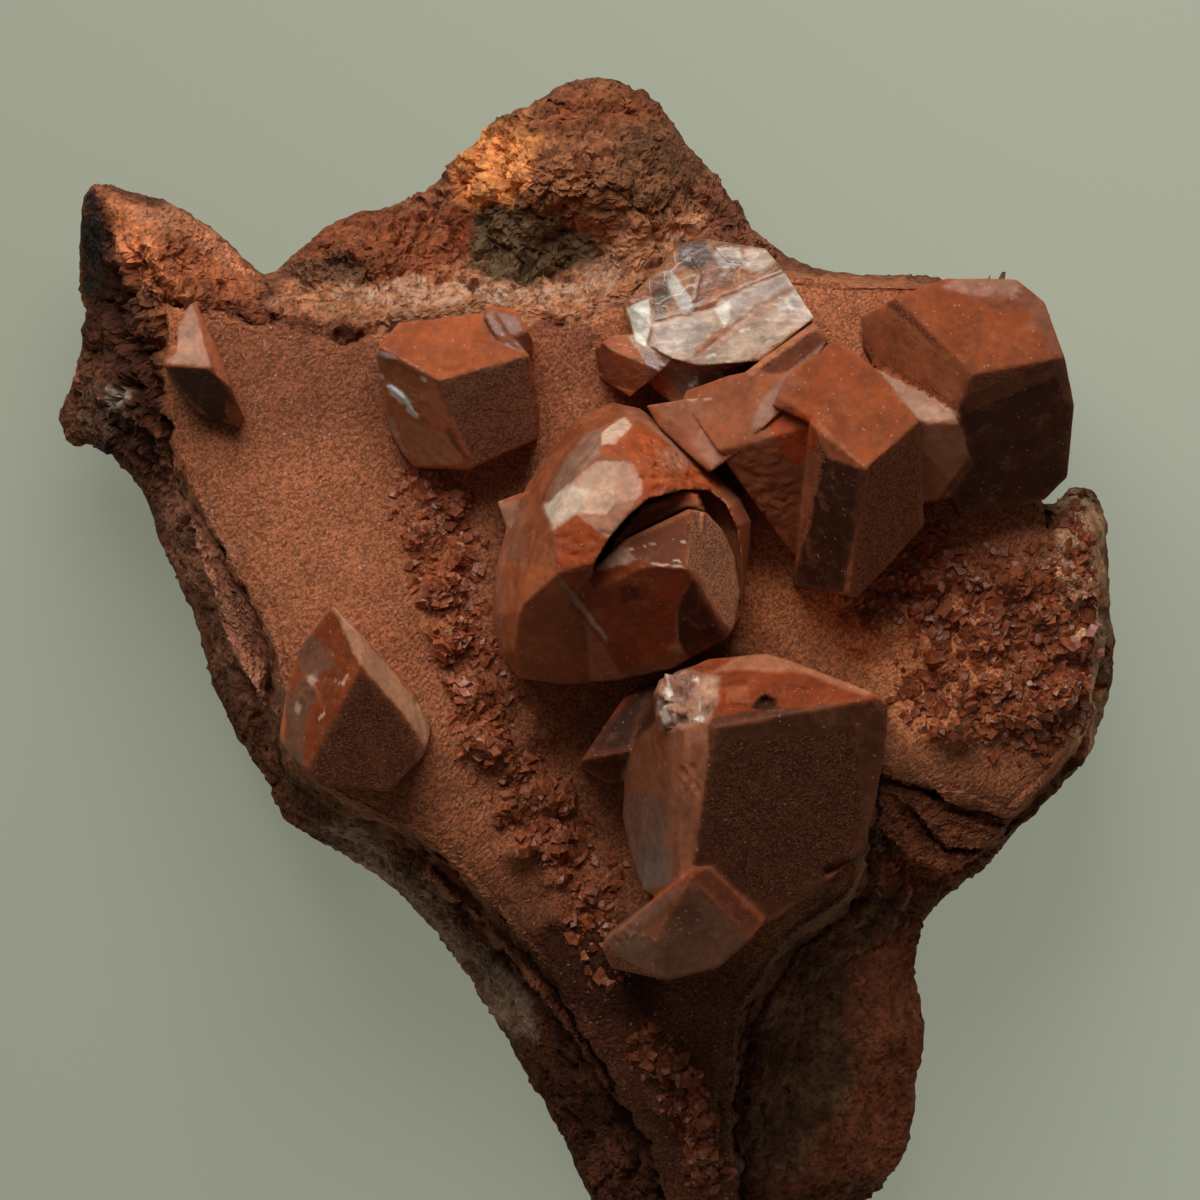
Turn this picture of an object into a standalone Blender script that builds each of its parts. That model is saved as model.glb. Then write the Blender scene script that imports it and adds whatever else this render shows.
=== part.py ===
"""Red calcite crystals on an iron-stained matrix, lying on its back with the crystals up.

+X is to the right and +Y to the top of the specimen, seen from the front. +Z points out of the
crystal side. The back rests on z = 0, under the middle of the outline. Tables are in millimetres.
"""

import math
import random

import bmesh
import bpy
import numpy as np
from mathutils import Euler, Matrix, Vector, noise

MM = 0.001

# The matrix
RAW_THICKNESS = 6.0  # of the flat slab that is shaped into the matrix
RIM_SPREAD = 1.014  # the rim of the plate against the outline of its face
RIM_CENTRE = (0.5, 2.4)
SLAB_GRAIN = 0.6  # spacing of the slab's points
MATRIX_GRAIN = 0.45  # spacing of the shaped matrix's points, before it is thinned
MATRIX_TRIANGLES = 6600
CRUST_RAMP = 0.9  # width of the broken edge where the calcite crust ends
CRUST_WAVE = (0.12, 5.0)  # height and size of the crust's waves
ROCK_LUMP = (0.55, 3.2)  # and of the bare rock's lumps
BACK_LUMP = (1.3, 7.0)  # and of the back's
BACK_RISE = 5.2  # how far the back lifts off the table at the outline
BACK_REACH = 7.5  # how far in from the outline that lift starts
BACK_ROUND = 1.7  # how late it lifts: 1 is straight
BACK_SINK = 0.25  # how far the back's lumps would reach below the table
THINNEST = 1.6
FOOT_SNAP = 0.22  # the back is flat where it comes this near the table
SPOT_GIVE = 0.4  # how freely the surfaces may miss a single spot height

# The small rhombs of the druse: the line they grow along, how far from it, and how many
DRUSE_FIELDS = [
    ([(11.6, 3.2), (15.0, 2.0), (19.4, 1.6), (19.6, -1.0), (14.8, -0.8)], 1.9, 22),
    ([(-6.2, 6.4), (-4.9, 0.8), (-2.4, -5.6), (-0.2, -9.6)], 1.2, 18),
    ([(3.0, -15.4), (3.9, -18.2), (4.5, -20.6)], 0.7, 7),
]
DRUSE_SIZES = (0.8, 1.4)
DRUSE_SPACING = 1.5  # from middle to middle
DRUSE_CLEAR = 1.5  # from the outline of a large crystal
DRUSE_INSIDE = 1.0  # from the broken edge of the crust
DRUSE_STAND = 0.12  # how far a rhomb's middle is over the crust, as a share of its size
RHOMB_SKEW = 0.13  # of a cube

# The crystals
GAP = 0.3  # between a crystal and what it grew on
BLOCK = 40.0  # side of the block that a crystal is cut from
ROOT = 8.0  # how low a crystal's block reaches where it has no "floor"

# The outline of the whole plate, anticlockwise from the tip at the upper left
OUTLINE = [
    # the left edge, with its knob of pale crystals
    (-19.9, 19.2), (-20.2, 17.2), (-20.3, 15.2), (-20.1, 13.6), (-20.1, 12.0), (-20.5, 10.8),
    (-21.3, 9.7), (-21.0, 8.6), (-20.1, 8.4), (-19.4, 8.7), (-18.4, 7.6), (-17.4, 6.2), (-17.1, 4.5),
    # the lower left edge down the stem
    (-16.0, 2.8), (-15.5, 0.8), (-15.1, -0.8), (-14.2, -2.8), (-12.8, -5.0), (-11.9, -6.8),
    (-9.4, -8.0), (-7.4, -9.4), (-5.6, -11.4), (-4.0, -14.0), (-2.3, -16.8), (-0.8, -19.6), (0.3, -22.0),
    # the tip of the stem, which is plain
    (1.6, -23.1), (4.5, -23.4), (8.4, -23.0), (11.2, -21.7), (12.7, -20.1), (13.1, -18.2),
    # the right side of the stem and up to the lower right corner
    (13.2, -16.4), (13.6, -14.8), (13.2, -13.2), (13.1, -11.4), (13.6, -9.9), (15.8, -8.5), (16.9, -6.9),
    (18.7, -5.3), (20.0, -3.8), (20.6, -2.0), (21.0, 0.6), (20.7, 2.8), (20.7, 5.4), (20.4, 6.6),
    # the notch under the right-hand crystals
    (19.8, 7.2), (19.1, 7.0), (18.8, 6.0), (18.1, 5.5), (17.5, 6.4), (17.8, 9.0), (18.2, 12.0),
    # the upper edge to the lump
    (17.6, 14.2), (16.0, 15.0), (13.6, 15.2), (10.9, 15.3), (8.6, 15.6), (7.2, 16.5), (6.0, 17.7),
    (5.3, 19.2), (4.7, 19.3), (4.1, 20.4), (3.1, 21.8), (2.1, 22.8), (0.6, 23.4), (-0.8, 23.1),
    (-2.6, 22.0), (-4.2, 21.0), (-5.2, 19.9), (-6.4, 18.6), (-7.4, 18.1), (-9.2, 17.9), (-10.8, 17.0),
    # the notch beside the lump, and the broken corner
    (-12.0, 15.8), (-12.3, 14.6), (-13.0, 14.8), (-13.8, 16.2), (-15.2, 17.4), (-16.9, 18.3),
    (-18.8, 18.7),
]

# Where the calcite crust ends in a broken edge, anticlockwise from its upper left corner
CRUST_EDGE = [
    (-16.9, 14.2), (-17.1, 10.4), (-16.3, 7.2), (-14.9, 4.6), (-13.1, 1.6), (-12.3, -1.8), (-11.9, -4.5),
    (-9.9, -5.9), (-6.3, -7.6), (-3.9, -10.2), (-1.5, -13.0), (0.5, -16.2), (2.4, -19.4), (3.8, -24.0),
    (6.2, -24.0), (5.9, -17.6), (6.4, -14.2), (8.2, -11.4), (11.0, -9.5), (11.4, -6.2), (11.4, -4.4),
    (13.8, -5.4), (16.9, -6.6), (18.7, -5.0), (20.2, -2.6), (20.7, 0.8), (20.5, 5.6), (19.6, 6.6),
    (18.4, 5.4), (18.2, 12.6), (17.2, 14.4), (13.6, 15.2), (10.9, 15.3), (8.1, 15.6), (6.4, 16.4),
    (4.4, 15.9), (2.1, 14.4), (-1.1, 13.4), (-4.2, 13.9), (-7.5, 13.3), (-9.9, 12.7), (-11.9, 13.4),
    (-14.2, 13.8),
]

# Spot heights of the crust's face: x, y and height over the table
CRUST_HEIGHTS = [
    (-16.5, 12.0, 13.0), (-12.0, 12.5, 12.6), (-6.0, 12.6, 12.9), (-1.0, 12.6, 12.8),  # along the top
    (-15.5, 7.0, 13.3), (-10.0, 8.0, 12.6), (-4.5, 6.0, 12.2), (0.5, 9.0, 12.9),
    (-12.5, 2.5, 13.4), (-7.5, 1.5, 13.6), (-3.5, 0.5, 12.2), (1.0, 3.5, 13.6),
    (-11.0, -3.5, 13.3), (-6.5, -4.5, 13.3), (-1.8, -4.0, 11.4), (4.0, 0.0, 12.8),  # the middle
    (-4.0, -8.0, 11.9), (-1.0, -9.5, 10.8), (2.5, -9.0, 12.2), (6.0, -5.5, 13.4), (8.5, -8.5, 12.6),
    (-0.6, -12.5, 10.6), (2.6, -14.5, 10.2), (5.4, -13.5, 11.0), (3.0, -18.0, 8.4), (5.0, -21.5, 6.6),
    (6.0, 5.5, 14.0), (10.0, 0.5, 12.6), (13.5, -2.5, 12.7), (16.5, -5.0, 11.6),  # the right field
    (12.5, 4.0, 12.5), (16.0, 3.0, 12.9), (19.5, 4.5, 12.8), (19.8, 0.0, 11.6), (19.0, -3.6, 10.9),
    (12.0, 10.0, 14.0), (16.8, 11.0, 13.4), (10.0, 14.6, 12.9), (5.5, 14.8, 12.9), (15.5, 14.4, 13.0),
]

# Spot heights of the bare rock outside the crust
ROCK_HEIGHTS = [
    (0.2, 19.4, 13.2), (-2.8, 18.4, 12.4), (2.8, 19.0, 12.2), (0.6, 21.6, 10.6), (0.6, 23.4, 7.4),  # lump
    (-4.6, 20.0, 8.6), (-6.0, 18.4, 8.6), (4.4, 20.0, 8.4), (3.6, 17.4, 10.8), (0.0, 16.2, 9.6),
    (-3.5, 16.0, 9.4), (-8.6, 16.6, 11.4), (-11.2, 16.0, 8.6), (-8.6, 17.9, 8.2), (-7.0, 15.2, 9.8),
    (-10.0, 14.0, 11.2), (-4.0, 14.6, 11.4), (0.0, 14.6, 11.3), (-12.4, 14.8, 9.2), (6.6, 17.0, 9.2),
    (-18.6, 17.4, 11.4), (-19.8, 18.8, 10.6), (-15.6, 16.6, 10.2), (-17.8, 15.2, 12.6),
    # the left side
    (-13.8, 15.6, 9.2), (-20.2, 15.0, 7.2), (-19.0, 12.4, 9.6), (-20.4, 9.4, 7.6), (-19.2, 9.6, 9.4),
    (-17.4, 6.4, 7.4), (-16.2, 5.6, 9.8), (-14.6, 2.0, 9.6), (-15.4, 1.0, 6.0), (-13.2, -3.6, 6.4),
    (-11.6, -6.8, 5.2),
    (-9.0, -7.6, 6.4), (-5.4, -11.0, 5.0), (-3.0, -13.6, 5.6), (-0.8, -18.0, 4.6), (1.6, -22.4, 4.2),
    (-5.0, -9.6, 8.0), (-1.2, -15.0, 7.6), (6.0, -23.0, 4.6), (9.0, -22.4, 4.4), (12.8, -18.0, 4.4),
    # the hollow beside the stem
    (9.6, -12.6, 7.0), (8.2, -16.0, 6.6), (11.6, -14.4, 6.8), (9.6, -19.4, 6.2), (13.2, -13.0, 5.2),
    (12.2, -10.4, 7.0), (13.4, -7.6, 9.6), (15.6, -7.8, 7.6), (11.8, -8.4, 9.4), (18.2, -5.4, 7.6),
    (20.6, -1.4, 7.6), (20.8, 3.0, 8.0), (18.4, 6.2, 9.0), (18.3, 13.0, 9.0), (13.6, 15.2, 9.4),
    (9.0, 15.6, 9.6),
]

# Each crystal is a convex block. "plan" is its outline seen from the front, anticlockwise.
# "face" is its main face: a point on it, the compass direction in which it falls away, in
# degrees from +X, and how steeply. "folds" are the edges of that face, anticlockwise, past which
# the surface falls more steeply by the given slope; a fourth value names another fold to start
# from. "shoulders" are rings of facets that rise from the plan at the given height and slope. A
# block with "cut" is taken away from the ones before it, down to its "floor".
CRYSTALS = {
    "small_wedge_crystal": [
        dict(
            plan=[(-16.9, 11.8), (-15.6, 9.9), (-13.9, 9.3), (-13.7, 9.7), (-14.7, 12.2), (-15.6, 14.3),
                  (-15.9, 14.1)],
            face=((-15.1, 11.6, 16.8), 135, 28),
            folds=[((-16.9, 11.7), (-15.1, 11.6), 1.7), ((-15.1, 11.6), (-15.6, 14.3), 1.5)],
        ),
    ],
    "upper_left_crystal": [
        dict(
            plan=[(-8.4, 12.3), (-7.8, 8.8), (-6.9, 7.7), (-4.7, 7.6), (-2.0, 8.8), (-1.9, 9.9),
                  (-2.3, 12.1), (-3.7, 13.8), (-7.5, 13.4)],
            face=((-5.9, 11.1, 18.9), 96, 26),
            folds=[((-8.2, 12.4), (-5.9, 11.1), 2.0), ((-5.9, 11.1), (-2.3, 12.1), 1.35)],
        ),
        dict(
            plan=[(-4.1, 13.6), (-3.4, 12.4), (-2.2, 12.2), (-2.2, 12.8), (-2.8, 13.9), (-3.9, 14.1)],
            face=((-3.2, 12.7, 18.4), 80, 22),
            folds=[((-3.9, 12.9), (-3.2, 12.7), 1.4), ((-3.2, 12.7), (-2.3, 13.1), 1.4)],
        ),
    ],
    "clear_cleaved_crystal": [
        dict(
            plan=[(1.4, 14.1), (1.9, 12.8), (3.3, 12.0), (4.4, 11.7), (6.9, 11.9), (9.0, 13.6),
                  (7.8, 15.5), (7.1, 16.4), (4.7, 16.8), (3.7, 16.6)],
            face=((4.4, 11.8, 17.3), 118, 14),
            folds=[((7.9, 15.5), (2.4, 13.4), 0.42), ((2.4, 13.6), (2.9, 12.2), 0.9)],
        ),
        dict(
            plan=[(0.3, 12.4), (0.5, 11.3), (1.7, 10.5), (2.6, 11.2), (3.6, 12.1), (2.0, 13.0),
                  (0.9, 12.9)],
            face=((1.1, 12.0, 17.0), 80, 30),
            folds=[((0.8, 12.4), (2.4, 11.7), 1.6), ((0.9, 12.3), (1.0, 11.2), 0.9, 1)],
        ),
    ],
    "central_crystal": [
        dict(  # the hollowed outer crystal
            plan=[(-3.8, 1.8), (-3.4, 0.2), (-2.7, -0.7), (-1.0, -0.95), (1.2, -0.8), (3.4, -0.3),
                  (5.6, 1.0), (6.1, 1.8), (6.4, 4.0), (6.5, 5.5), (6.1, 6.4), (4.9, 7.6), (3.5, 8.9),
                  (2.1, 10.0), (1.0, 10.25), (-0.4, 9.6), (-1.6, 8.3), (-2.4, 7.0), (-3.2, 5.3),
                  (-3.6, 3.8)],
            face=((1.4, 5.8, 22.9), 128, 17),
            folds=[
                ((0.5, 8.0), (-1.7, 6.2), 0.9),
                ((-1.7, 6.2), (-1.2, 5.2), 0.75),
                ((-1.2, 5.2), (1.7, 5.9), 0.3),
                ((-1.4, 3.4), (1.5, 4.2), 1.3, 3),
                ((2.1, 6.6), (2.1, 7.3), 0.6),
                ((2.1, 7.3), (1.5, 8.0), 0.5),
                ((-2.7, 5.2), (-2.5, 1.2), 1.0, 2),
            ],
            shoulders=[(17.0, 3.4), (19.6, 2.2)],
        ),
        dict(  # the hollow in its front
            cut=True,
            floor=17.0,
            plan=[(0.7, -2.5), (5.9, -2.5), (6.05, 2.2), (6.1, 4.0), (5.95, 5.2), (5.5, 6.2),
                  (4.8, 6.75), (3.7, 6.75), (2.4, 6.4), (1.6, 5.7), (0.9, 4.9), (0.3, 3.9), (0.15, 3.2)],
            face=((3.0, 4.0, 50.0), 90, 0),
            folds=[],
        ),
        dict(  # the inner crystal that stands in the hollow
            plan=[(0.1, -0.85), (1.2, -0.8), (3.4, -0.3), (5.5, 0.9), (5.8, 1.3), (6.05, 2.6),
                  (5.85, 4.1), (5.4, 5.1), (4.7, 5.85), (4.0, 6.0), (1.5, 4.8), (0.3, 3.7), (-0.1, 3.1)],
            face=((3.95, 3.65, 21.9), 105, 14),
            folds=[
                ((0.3, 3.7), (3.95, 3.65), 1.1),
                ((3.95, 3.6), (4.05, 5.95), 1.75),
                ((1.4, 4.7), (1.9, 4.0), 0.5),
            ],
        ),
        dict(  # the nub on its left
            plan=[(-3.6, 6.3), (-3.15, 5.1), (-1.8, 5.0), (-1.8, 6.8), (-2.8, 6.6)],
            face=((-3.0, 6.0, 17.4), 200, 32),
            folds=[],
        ),
    ],
    "right_cluster": [
        dict(  # the leaning crystal behind the central one
            plan=[(8.2, 4.1), (8.9, 4.9), (10.4, 8.8), (9.9, 11.5), (8.5, 11.9), (5.6, 11.3),
                  (3.9, 10.7), (3.75, 10.3)],
            face=((8.7, 9.4, 19.4), 112, 24),
            folds=[((4.4, 8.1), (9.2, 9.4), 1.25)],
        ),
        dict(  # the upright prism
            plan=[(8.2, 2.9), (10.7, 2.5), (11.9, 3.7), (13.4, 5.4), (13.1, 9.5), (11.5, 11.5),
                  (10.0, 12.7), (9.4, 12.6), (8.8, 9.6)],
            face=((10.95, 7.6, 21.8), 96, 31),
            folds=[((9.0, 9.2), (10.95, 7.6), 1.6), ((10.95, 7.6), (13.1, 9.45), 2.0)],
        ),
        dict(  # its ledge to the left
            plan=[(7.3, 10.1), (9.2, 9.2), (9.7, 12.6), (9.2, 12.4), (7.9, 11.3)],
            face=((10.95, 7.6, 21.8), 96, 31),
            folds=[((7.3, 10.6), (9.2, 9.4), 1.2)],
        ),
        dict(  # the small crystal at its right
            plan=[(12.5, 6.2), (14.3, 6.4), (15.3, 7.8), (14.7, 9.4), (14.5, 9.8), (11.7, 11.6),
                  (11.2, 9.0)],
            face=((13.4, 9.3, 20.0), 62, 30),
            folds=[((13.0, 9.5), (14.7, 9.35), 1.4)],
        ),
        dict(  # the block at the upper right corner
            floor=10.4,
            plan=[(11.0, 12.4), (14.9, 5.7), (18.2, 6.4), (19.1, 7.3), (19.3, 10.1), (18.85, 12.0),
                  (18.1, 14.2), (17.0, 15.1), (14.2, 15.15), (12.2, 14.4), (10.9, 13.7)],
            face=((15.2, 11.3, 20.9), 84, 25),
            folds=[((12.3, 14.3), (15.2, 11.3), 1.4), ((15.2, 11.3), (19.05, 12.05), 1.5)],
        ),
    ],
    "large_block_crystal": [
        dict(
            plan=[(2.2, -9.1), (3.4, -9.8), (6.9, -10.5), (7.8, -10.0), (9.3, -8.9), (10.9, -7.4),
                  (11.4, -5.4), (11.8, -2.8), (11.8, -1.7), (11.2, -1.25), (8.0, 0.0), (7.1, 0.25),
                  (4.8, 0.05), (2.9, -0.8), (2.1, -2.3), (1.5, -4.7), (1.4, -6.2), (1.7, -7.7)],
            face=((5.05, -2.6, 23.4), 276, 24),
            folds=[
                ((11.2, -1.45), (5.05, -2.6), 1.55),
                ((5.05, -2.6), (4.1, -7.9), 0.8),
                ((3.4, -2.2), (3.35, -8.7), 1.5, 2),
            ],
        ),
        dict(  # the pyramid at its foot
            plan=[(0.6, -11.4), (0.95, -12.2), (3.2, -12.65), (5.2, -12.15), (6.45, -11.0),
                  (7.1, -10.2), (4.8, -8.1), (4.1, -8.2), (0.75, -11.0)],
            face=((4.1, -8.6, 21.7), 262, 27),
            folds=[
                ((6.45, -10.95), (4.1, -8.6), 1.0),
                ((4.1, -8.6), (2.7, -10.9), 0.9),
                ((2.7, -10.9), (2.9, -12.7), 0.8),
            ],
        ),
        dict(  # the blade at its left
            plan=[(-0.4, -4.2), (0.8, -4.9), (2.6, -4.6), (4.2, -2.0), (2.6, -0.95), (1.5, -1.4)],
            face=((1.6, -3.6, 17.6), 130, 26),
            folds=[((-0.4, -4.0), (2.6, -3.4), 1.6)],
        ),
    ],
    "lower_left_crystal": [
        dict(
            plan=[(-10.1, 2.2), (-11.4, 0.6), (-12.0, -1.1), (-12.3, -3.2), (-10.6, -5.0), (-7.8, -5.2),
                  (-6.5, -3.8), (-6.2, -2.8), (-6.9, -1.3)],
            face=((-9.0, -0.2, 18.4), 275, 26),
            folds=[((-6.7, -2.9), (-9.0, -0.2), 1.3), ((-9.0, -0.2), (-11.1, -4.2), 1.2)],
        ),
    ],
}

# Colour, roughness and see-through share of each piece
FINISHES = {
    "matrix": ((0.25, 0.075, 0.04), 0.9, 0.0),
    "small_wedge_crystal": ((0.42, 0.14, 0.08), 0.45, 0.0),
    "upper_left_crystal": ((0.45, 0.12, 0.05), 0.4, 0.0),
    "clear_cleaved_crystal": ((0.75, 0.6, 0.55), 0.25, 0.6),
    "central_crystal": ((0.5, 0.17, 0.09), 0.3, 0.2),
    "right_cluster": ((0.4, 0.11, 0.05), 0.4, 0.0),
    "large_block_crystal": ((0.4, 0.11, 0.06), 0.4, 0.1),
    "lower_left_crystal": ((0.45, 0.14, 0.07), 0.4, 0.1),
}


def clear_scene():
    for old in list(bpy.data.objects):
        bpy.data.objects.remove(old, do_unlink=True)


def collection(name, hidden=False):
    group = bpy.data.collections.new(name)
    group.hide_render = hidden
    bpy.context.scene.collection.children.link(group)
    return group


def finish(name):
    colour, roughness, clear = FINISHES[name]
    material = bpy.data.materials.new(name)
    material.use_nodes = True
    shader = material.node_tree.nodes["Principled BSDF"]
    shader.inputs["Base Color"].default_value = (*colour, 1)
    shader.inputs["Roughness"].default_value = roughness
    shader.inputs["Transmission Weight"].default_value = clear
    shader.inputs["IOR"].default_value = 1.6
    return material


def evaluated_mesh(obj, name):
    """The mesh that an object's modifiers make, as a mesh of its own."""
    bpy.context.view_layer.update()
    graph = bpy.context.evaluated_depsgraph_get()
    made = bpy.data.meshes.new_from_object(obj.evaluated_get(graph))
    made.name = name
    return made


def weld(mesh, distance):
    bm = bmesh.new()
    bm.from_mesh(mesh)
    bmesh.ops.remove_doubles(bm, verts=bm.verts, dist=distance)
    bmesh.ops.recalc_face_normals(bm, faces=bm.faces)
    bm.to_mesh(mesh)
    bm.free()


def depth_inside(points, outline):
    """How far each point lies inside a closed outline, negative outside it."""
    corners = np.array(outline)
    ends = np.roll(corners, -1, axis=0)
    nearest = np.full(len(points), np.inf)
    inside = np.zeros(len(points), bool)
    for (ax, ay), (bx, by) in zip(corners, ends):
        side = np.array([bx - ax, by - ay])
        along = np.clip(((points - (ax, ay)) @ side) / (side @ side), 0, 1)
        away = points - (ax, ay) - along[:, None] * side
        nearest = np.minimum(nearest, np.hypot(away[:, 0], away[:, 1]))
        if ay != by:
            crossed = (points[:, 1] < ay) != (points[:, 1] < by)
            crossing = ax + (points[:, 1] - ay) / (by - ay) * (bx - ax)
            inside ^= crossed & (points[:, 0] < crossing)
    return np.where(inside, nearest, -nearest)


def surface_through(spots, points):
    """Heights at points of the smooth surface through spot heights, as a thin plate bends."""
    spots = np.array(spots)
    known = spots[:, :2]

    def bend(a, b):
        apart = np.linalg.norm(a[:, None] - b[None], axis=2)
        return apart**2 * np.log(apart + 1e-9)

    flat = np.column_stack([np.ones(len(known)), known])
    bending = bend(known, known) + SPOT_GIVE * np.eye(len(known))
    system = np.block([[bending, flat], [flat.T, np.zeros((3, 3))]])
    weights = np.linalg.solve(system, np.append(spots[:, 2], np.zeros(3)))
    plane = np.column_stack([np.ones(len(points)), points])
    return bend(points, known) @ weights[:-3] + plane @ weights[-3:]


def lumps(points, height_and_size, seed):
    """Rock-like lumps, up and down by the given height."""
    height, size = height_and_size
    values = [noise.fractal(Vector((x / size, y / size, seed)), 0.9, 2.1, 3) for x, y in points]
    return height * np.clip(np.array(values) * 1.6, -1, 1)


def smooth_step(value):
    value = np.clip(value, 0, 1)
    return value * value * (3 - 2 * value)


def matrix_slab():
    """The flat slab inside the outline, as an even mesh of points."""
    curve = bpy.data.curves.new("matrix_slab", "CURVE")
    curve.dimensions = "2D"
    curve.fill_mode = "BOTH"
    curve.extrude = RAW_THICKNESS / 2
    spline = curve.splines.new("POLY")
    spline.points.add(len(OUTLINE) - 1)
    middle_x, middle_y = RIM_CENTRE
    for point, (x, y) in zip(spline.points, OUTLINE):
        point.co = (middle_x + (x - middle_x) * RIM_SPREAD, middle_y + (y - middle_y) * RIM_SPREAD, 0, 1)
    spline.use_cyclic_u = True
    slab = bpy.data.objects.new("matrix_slab", curve)
    bpy.context.scene.collection.objects.link(slab)
    solid = bpy.data.objects.new("matrix_slab_mesh", evaluated_mesh(slab, "matrix_slab"))
    bpy.data.objects.remove(slab)
    bpy.context.scene.collection.objects.link(solid)
    weld(solid.data, 1e-4)
    remesh = solid.modifiers.new("even", "REMESH")
    remesh.mode = "VOXEL"
    remesh.voxel_size = SLAB_GRAIN
    even = evaluated_mesh(solid, "matrix_even")
    bpy.data.objects.remove(solid)
    return even


def shape_matrix(mesh):
    """Moves the slab's points to the face and the back of the real piece."""
    co = np.empty(len(mesh.vertices) * 3)
    mesh.vertices.foreach_get("co", co)
    co = co.reshape(-1, 3)
    plan = co[:, :2]
    share = np.clip(co[:, 2] / RAW_THICKNESS + 0.5, 0, 1)

    rock = surface_through(ROCK_HEIGHTS, plan) + lumps(plan, ROCK_LUMP, 4.0)
    crust = surface_through(CRUST_HEIGHTS, plan) + lumps(plan, CRUST_WAVE, 9.0)
    covered = smooth_step(depth_inside(plan, CRUST_EDGE) / CRUST_RAMP + 0.5)
    front = rock + (crust - rock) * covered

    edge = np.clip(1 - depth_inside(plan, OUTLINE) / BACK_REACH, 0, 1)
    back = BACK_RISE * edge**BACK_ROUND + lumps(plan, BACK_LUMP, 2.0) - BACK_SINK
    back = np.clip(back, 0, front - THINNEST)

    co[:, 2] = back + share * (front - back)
    mesh.vertices.foreach_set("co", co.ravel())
    mesh.update()


def thinned(rough):
    """The shaped matrix with even points, thinned to its share of triangles."""
    remesh = rough.modifiers.new("even", "REMESH")
    remesh.mode = "VOXEL"
    remesh.voxel_size = MATRIX_GRAIN
    rough.modifiers.new("triangles", "TRIANGULATE")
    full = len(evaluated_mesh(rough, "matrix_full").polygons)
    thin = rough.modifiers.new("thin", "DECIMATE")
    thin.ratio = min(1.0, MATRIX_TRIANGLES / full)
    mesh = evaluated_mesh(rough, "matrix")
    for vertex in mesh.vertices:
        if vertex.co.z < FOOT_SNAP:
            vertex.co.z = 0.0
    return mesh


def druse_places():
    """Where the small rhombs stand, clear of each other and of the large crystals."""
    chance = random.Random(7)
    plans = [block["plan"] for blocks in CRYSTALS.values() for block in blocks]
    places = []
    for line, reach, count in DRUSE_FIELDS:
        tries = []
        for _ in range(count * 40):
            (ax, ay), (bx, by) = chance.choice(list(zip(line, line[1:])))
            along = chance.random()
            x = ax + along * (bx - ax) + chance.uniform(-reach, reach)
            y = ay + along * (by - ay) + chance.uniform(-reach, reach)
            tries.append((x, y))
        spots = np.array(tries)
        free = depth_inside(spots, CRUST_EDGE) > DRUSE_INSIDE
        for plan in plans:
            free &= depth_inside(spots, plan) < -DRUSE_CLEAR
        chosen = []
        for x, y in spots[free]:
            if all(math.hypot(x - u, y - v) > DRUSE_SPACING for u, v in places + chosen):
                chosen.append((x, y))
        places += chosen[:count]
    return places


def druse_rhombs(group):
    """The small rhombs, each half sunk in the crust's face."""
    chance = random.Random(11)
    places = druse_places()
    heights = surface_through(CRUST_HEIGHTS, np.array(places))
    skew = Matrix([[1 if row == column else RHOMB_SKEW for column in range(3)] for row in range(3)])
    bm = bmesh.new()
    for (x, y), height in zip(places, heights):
        size = chance.uniform(*DRUSE_SIZES)
        turn = Euler((chance.gauss(0.75, 0.35), chance.gauss(0.5, 0.35), chance.uniform(0, math.tau)))
        place = Matrix.Translation((x, y, height + DRUSE_STAND * size)) @ (turn.to_matrix() @ skew).to_4x4()
        bmesh.ops.create_cube(bm, size=size, matrix=place)
    mesh = bpy.data.meshes.new("druse_rhombs")
    bm.to_mesh(mesh)
    bm.free()
    rhombs = bpy.data.objects.new("druse_rhombs", mesh)
    rhombs.hide_render = True
    rhombs.display_type = "WIRE"
    group.objects.link(rhombs)
    return rhombs


def build_matrix(group, helpers):
    mesh = matrix_slab()
    shape_matrix(mesh)
    rough = bpy.data.objects.new("matrix_rough", mesh)
    bpy.context.scene.collection.objects.link(rough)
    matrix = bpy.data.objects.new("matrix", thinned(rough))
    bpy.data.objects.remove(rough)
    group.objects.link(matrix)
    boolean(matrix, druse_rhombs(helpers), "UNION").use_self = True  # some rhombs grow into each other
    return matrix


def inflated(matrix, group):
    """The matrix grown by the gap, which the crystals are cut back from."""
    cutter = bpy.data.objects.new("matrix_clearance", matrix.data.copy())
    group.objects.link(cutter)
    grow = cutter.modifiers.new("grow", "DISPLACE")
    grow.strength = GAP
    grow.mid_level = 0.0
    cutter.data = evaluated_mesh(cutter, "matrix_clearance")
    cutter.modifiers.clear()
    cutter.hide_render = True
    cutter.display_type = "WIRE"
    return cutter


def planes_of(crystal):
    """Each of a crystal's faces, as a point on it and the direction that it faces."""
    point, compass, steepness = crystal["face"]
    fall = math.tan(math.radians(steepness))
    downhill = Vector((math.cos(math.radians(compass)), math.sin(math.radians(compass))))
    slopes = [-fall * downhill]
    points = [Vector(point)]
    for (ax, ay), (bx, by), more, *parent in crystal["folds"]:
        parent = parent[0] if parent else 0
        out = Vector((by - ay, ax - bx)).normalized()
        start, slope = points[parent], slopes[parent]
        height = start.z + slope.dot(Vector((ax, ay)) - start.xy)
        points.append(Vector((ax, ay, height)))
        slopes.append(slope - more * out)
    planes = [(point, Vector((-slope.x, -slope.y, 1))) for point, slope in zip(points, slopes)]
    plan = crystal["plan"]
    for (ax, ay), (bx, by) in zip(plan, plan[1:] + plan[:1]):
        out = Vector((by - ay, ax - bx)).normalized()
        planes.append((Vector((ax, ay, 0)), Vector((out.x, out.y, 0))))
        for height, slope in crystal.get("shoulders", []):
            planes.append((Vector((ax, ay, height)), Vector((out.x * slope, out.y * slope, 1))))
    return planes


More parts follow.
